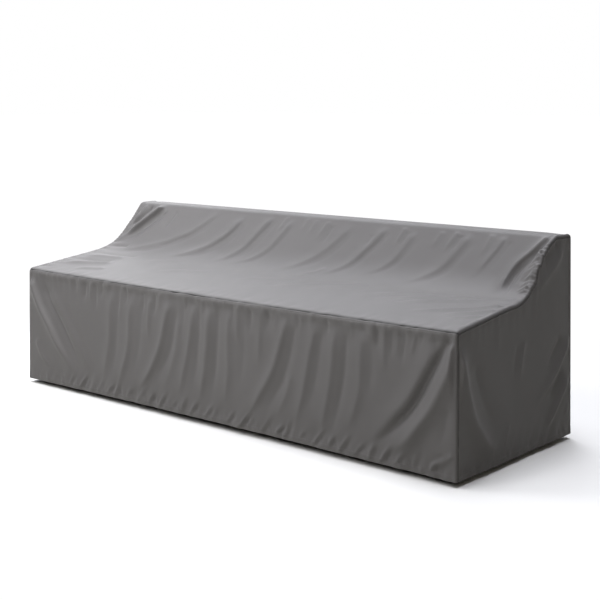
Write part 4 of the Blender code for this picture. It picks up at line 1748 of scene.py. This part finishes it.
@dataclass(frozen=True)
class Softbox:
    """A square area light that faces a place."""

    name: str
    place: tuple[float, float, float]
    strength: float
    faces: tuple[float, float, float] = (0.0, -0.45, -0.35)
    side: float = 1.2

    def build(self) -> None:
        """Makes the light."""
        data = bpy.data.lights.new(self.name, "AREA")
        data.energy = self.strength
        data.size = self.side
        lamp = bpy.data.objects.new(self.name, data)
        lamp.location = self.place
        lamp.visible_camera = False
        lamp.rotation_euler = (Vector(self.faces) - Vector(self.place)).to_track_quat("-Z", "Y").to_euler()
        bpy.context.scene.collection.objects.link(lamp)


@dataclass(frozen=True)
class Studio:
    """A plain white floor and background, soft light and the camera."""

    floor_up: float = -0.804
    floor_side: float = 90.0
    floor_seen: float = 0.88
    floor_bounce: tuple[float, float, float, float] = (0.405, 0.40, 0.372, 1.0)
    floor_roughness: float = 0.9
    floor_specular: float = 0.1
    shaded_middle: tuple[float, float] = (0.0, -0.35)
    shaded_reach: tuple[float, float, float] = (1.9, 1.1, 1.0)
    shade_fade: float = 1.8
    sky_seen: float = 1.0
    sky_light: float = 0.03
    camera_place: tuple[float, float, float] = (3.4509, -4.1928, 0.5234)
    camera_pitch: float = math.radians(90 - 0.5037)
    camera_yaw: float = math.radians(40.761)
    lens: float = 71.540
    shift_up: float = -0.31383
    suns: tuple[Sun, ...] = (
        Sun("overhead_light", (0.0, 0.0, -1.0), 2.27),
        Sun("low_back_left_light", (0.64, -0.64, -0.42), 0.49),
        Sun("high_back_left_light", (0.41, -0.41, -0.82), 0.97),
        Sun("right_fill", (-0.64, 0.64, -0.42), 0.28, (1.0, 0.90, 0.74)),
    )
    softboxes: tuple[Softbox, ...] = (
        Softbox("near_left_softbox", (-1.8, -0.8, 1.0), 9.0),
        Softbox("high_left_softbox", (-1.4, -2.0, 1.6), 44.0),
        Softbox("front_softbox", (0.0, -3.0, 1.0), 26.0),
        Softbox("back_left_softbox", (-2.8, 1.2, 1.0), 8.0),
    )

    def floor_material(self) -> bpy.types.Material:
        """White paper that bounces less light than the camera sees, and fades to the background's white.

        Returns:
            The material.
        """
        material = bpy.data.materials.new("floor_paper")
        material.use_nodes = True
        nodes = Nodes(material.node_tree)
        shader = material.node_tree.nodes["Principled BSDF"]
        rays = nodes.add("ShaderNodeLightPath")
        place = nodes.add("ShaderNodeTexCoord")
        span = nodes.add("ShaderNodeMapping", vector_type="TEXTURE")
        span.inputs["Location"].default_value = (*self.shaded_middle, self.floor_up)
        span.inputs["Scale"].default_value = self.shaded_reach
        nodes.feed(place.outputs["Object"], span.inputs["Vector"])
        away = nodes.add("ShaderNodeVectorMath", operation="LENGTH")
        nodes.feed(span.outputs["Vector"], away.inputs[0])
        fade = nodes.add("ShaderNodeMapRange", interpolation_type="SMOOTHSTEP")
        nodes.feed(away.outputs["Value"], fade.inputs["Value"])
        fade.inputs["From Min"].default_value = 1.0
        fade.inputs["From Max"].default_value = self.shade_fade
        lit = nodes.math("MULTIPLY", fade.outputs["Result"], rays.outputs["Is Camera Ray"])
        seen = nodes.math("MULTIPLY", nodes.math("SUBTRACT", 1.0, fade.outputs["Result"]), self.floor_seen)
        tone = nodes.add("ShaderNodeMix", data_type="RGBA")
        for value, socket in ((rays.outputs["Is Camera Ray"], 0), (self.floor_bounce, 6), (seen, 7)):
            nodes.feed(value, tone.inputs[socket])
        nodes.feed(tone.outputs[2], shader.inputs["Base Color"])
        shader.inputs["Emission Color"].default_value = (1.0, 1.0, 1.0, 1.0)
        nodes.feed(lit, shader.inputs["Emission Strength"])
        shader.inputs["Roughness"].default_value = self.floor_roughness
        shader.inputs["Specular IOR Level"].default_value = self.floor_specular
        return material

    def build_floor(self) -> None:
        """Makes the floor."""
        shape = bmesh.new()
        stand = Matrix.Translation((0.0, 0.0, self.floor_up))
        bmesh.ops.create_grid(shape, x_segments=1, y_segments=1, size=self.floor_side, matrix=stand)
        mesh = bpy.data.meshes.new("floor")
        shape.to_mesh(mesh)
        shape.free()
        mesh.materials.append(self.floor_material())
        floor = bpy.data.objects.new("floor", mesh)
        bpy.context.scene.collection.objects.link(floor)

    def build_sky(self) -> None:
        """Makes the white background and the even light from all round."""
        world = bpy.data.worlds.new("studio")
        world.use_nodes = True
        nodes = Nodes(world.node_tree)
        rays = nodes.add("ShaderNodeLightPath")
        strength = nodes.mix(rays.outputs["Is Camera Ray"], self.sky_light, self.sky_seen)
        background = world.node_tree.nodes["Background"]
        background.inputs["Color"].default_value = (1.0, 1.0, 1.0, 1.0)
        nodes.feed(strength, background.inputs["Strength"])
        bpy.context.scene.world = world

    def build_camera(self) -> None:
        """Makes the camera at the photograph's viewing angle."""
        data = bpy.data.cameras.new("camera")
        data.lens = self.lens
        data.sensor_width = 36.0
        data.shift_y = self.shift_up
        data.clip_end = 200.0
        camera = bpy.data.objects.new("camera", data)
        camera.location = self.camera_place
        camera.rotation_euler = (self.camera_pitch, 0.0, self.camera_yaw)
        bpy.context.scene.collection.objects.link(camera)
        bpy.context.scene.camera = camera

    def build(self) -> None:
        """Makes everything round the cover."""
        self.build_camera()
        self.build_floor()
        self.build_sky()
        for light in self.suns + self.softboxes:
            light.build()
        bpy.context.scene.view_settings.view_transform = "Standard"


# ---------------------------------------------------------------------------------------------- the cover


@dataclass
class SofaCover:
    """The whole cover: five sheets and their stitches."""

    cloth: ClothFinish = field(default_factory=ClothFinish)
    thread: ThreadFinish = field(default_factory=ThreadFinish)

    def sheets(self) -> dict[str, Sheet]:
        """Lays out the five sheets.

        Returns:
            The sheets by name.
        """
        long_panels = LongPanels()
        made = [
            long_panels.top(),
            long_panels.front(),
            long_panels.back(),
            EndPanel(End.RIGHT, RIGHT_END_FOLDS, RIGHT_END_CREASES, layer=70.5).drape(),
            EndPanel(End.LEFT, LEFT_END_FOLDS, LEFT_END_CREASES, layer=90.5).drape(),
        ]
        return {sheet.name: sheet for sheet in made}

    def stitching(self, sheets: dict[str, Sheet]) -> list[Stitching]:
        """Finds the rows that the stitches follow, on each sheet that has any.

        Args:
            sheets: The sheets by name.

        Returns:
            The stitches of each.
        """
        hem_row = len(hem_steps()) + HEM_STEPS.index(SEWING.hem_stitch_up)
        from_lip = LIP_COUNT + len(SEAM_STEPS) - SEAM_STEPS.index(SEWING.stitch_from_seam)
        front, back = sheets["front_sheet"], sheets["back_sheet"]
        rows: list[Stitching] = [
            LongStitching(front, seam_row=front.places.shape[1] - from_lip, hem_row=hem_row),
            LongStitching(back, seam_row=from_lip - 1, hem_row=back.places.shape[1] - 1 - hem_row),
        ]
        for name in ("right_end_sheet", "left_end_sheet"):
            sheet = sheets[name]
            seam_row = sheet.places.shape[1] - from_lip
            rows.append(EndStitching(sheet, seam_row=seam_row, hem_row=hem_row, side_column=from_lip - 1))
        return rows

    def build(self) -> None:
        """Makes the sheets and their stitches, hides the solids that the sheets replace, and logs each one's size.
        """
        weathering = weathering_group()
        cloth = self.cloth.build(weave_group(), weathering)
        thread = self.thread.build(weathering)
        sheets = self.sheets()
        pieces = {}
        for sheet in sheets.values():
            piece = sheet.build(cloth)
            pieces[sheet.name] = piece
            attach(piece, "root")
            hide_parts(sheet.replaces)
            LOG.info("%s: flat %.3f by %.3f m", sheet.name, *sheet.flat_size())
        for row in self.stitching(sheets):
            piece = row.build(thread)
            pieces[piece.name] = piece
            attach(piece, "root")
            LOG.info("%s: %d faces", piece.name, len(piece.data.polygons))
        for sheet in sheets.values():
            stitches = pieces.get(stitches_of(sheet.name))
            sheet.flat_size()


def main() -> None:
    """Builds the studio and the cover."""
    logging.basicConfig(level=logging.INFO, format="%(name)s: %(message)s")
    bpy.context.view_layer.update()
    Studio().build()
    SofaCover().build()
    bpy.context.view_layer.update()


if __name__ == "__main__":
    main()
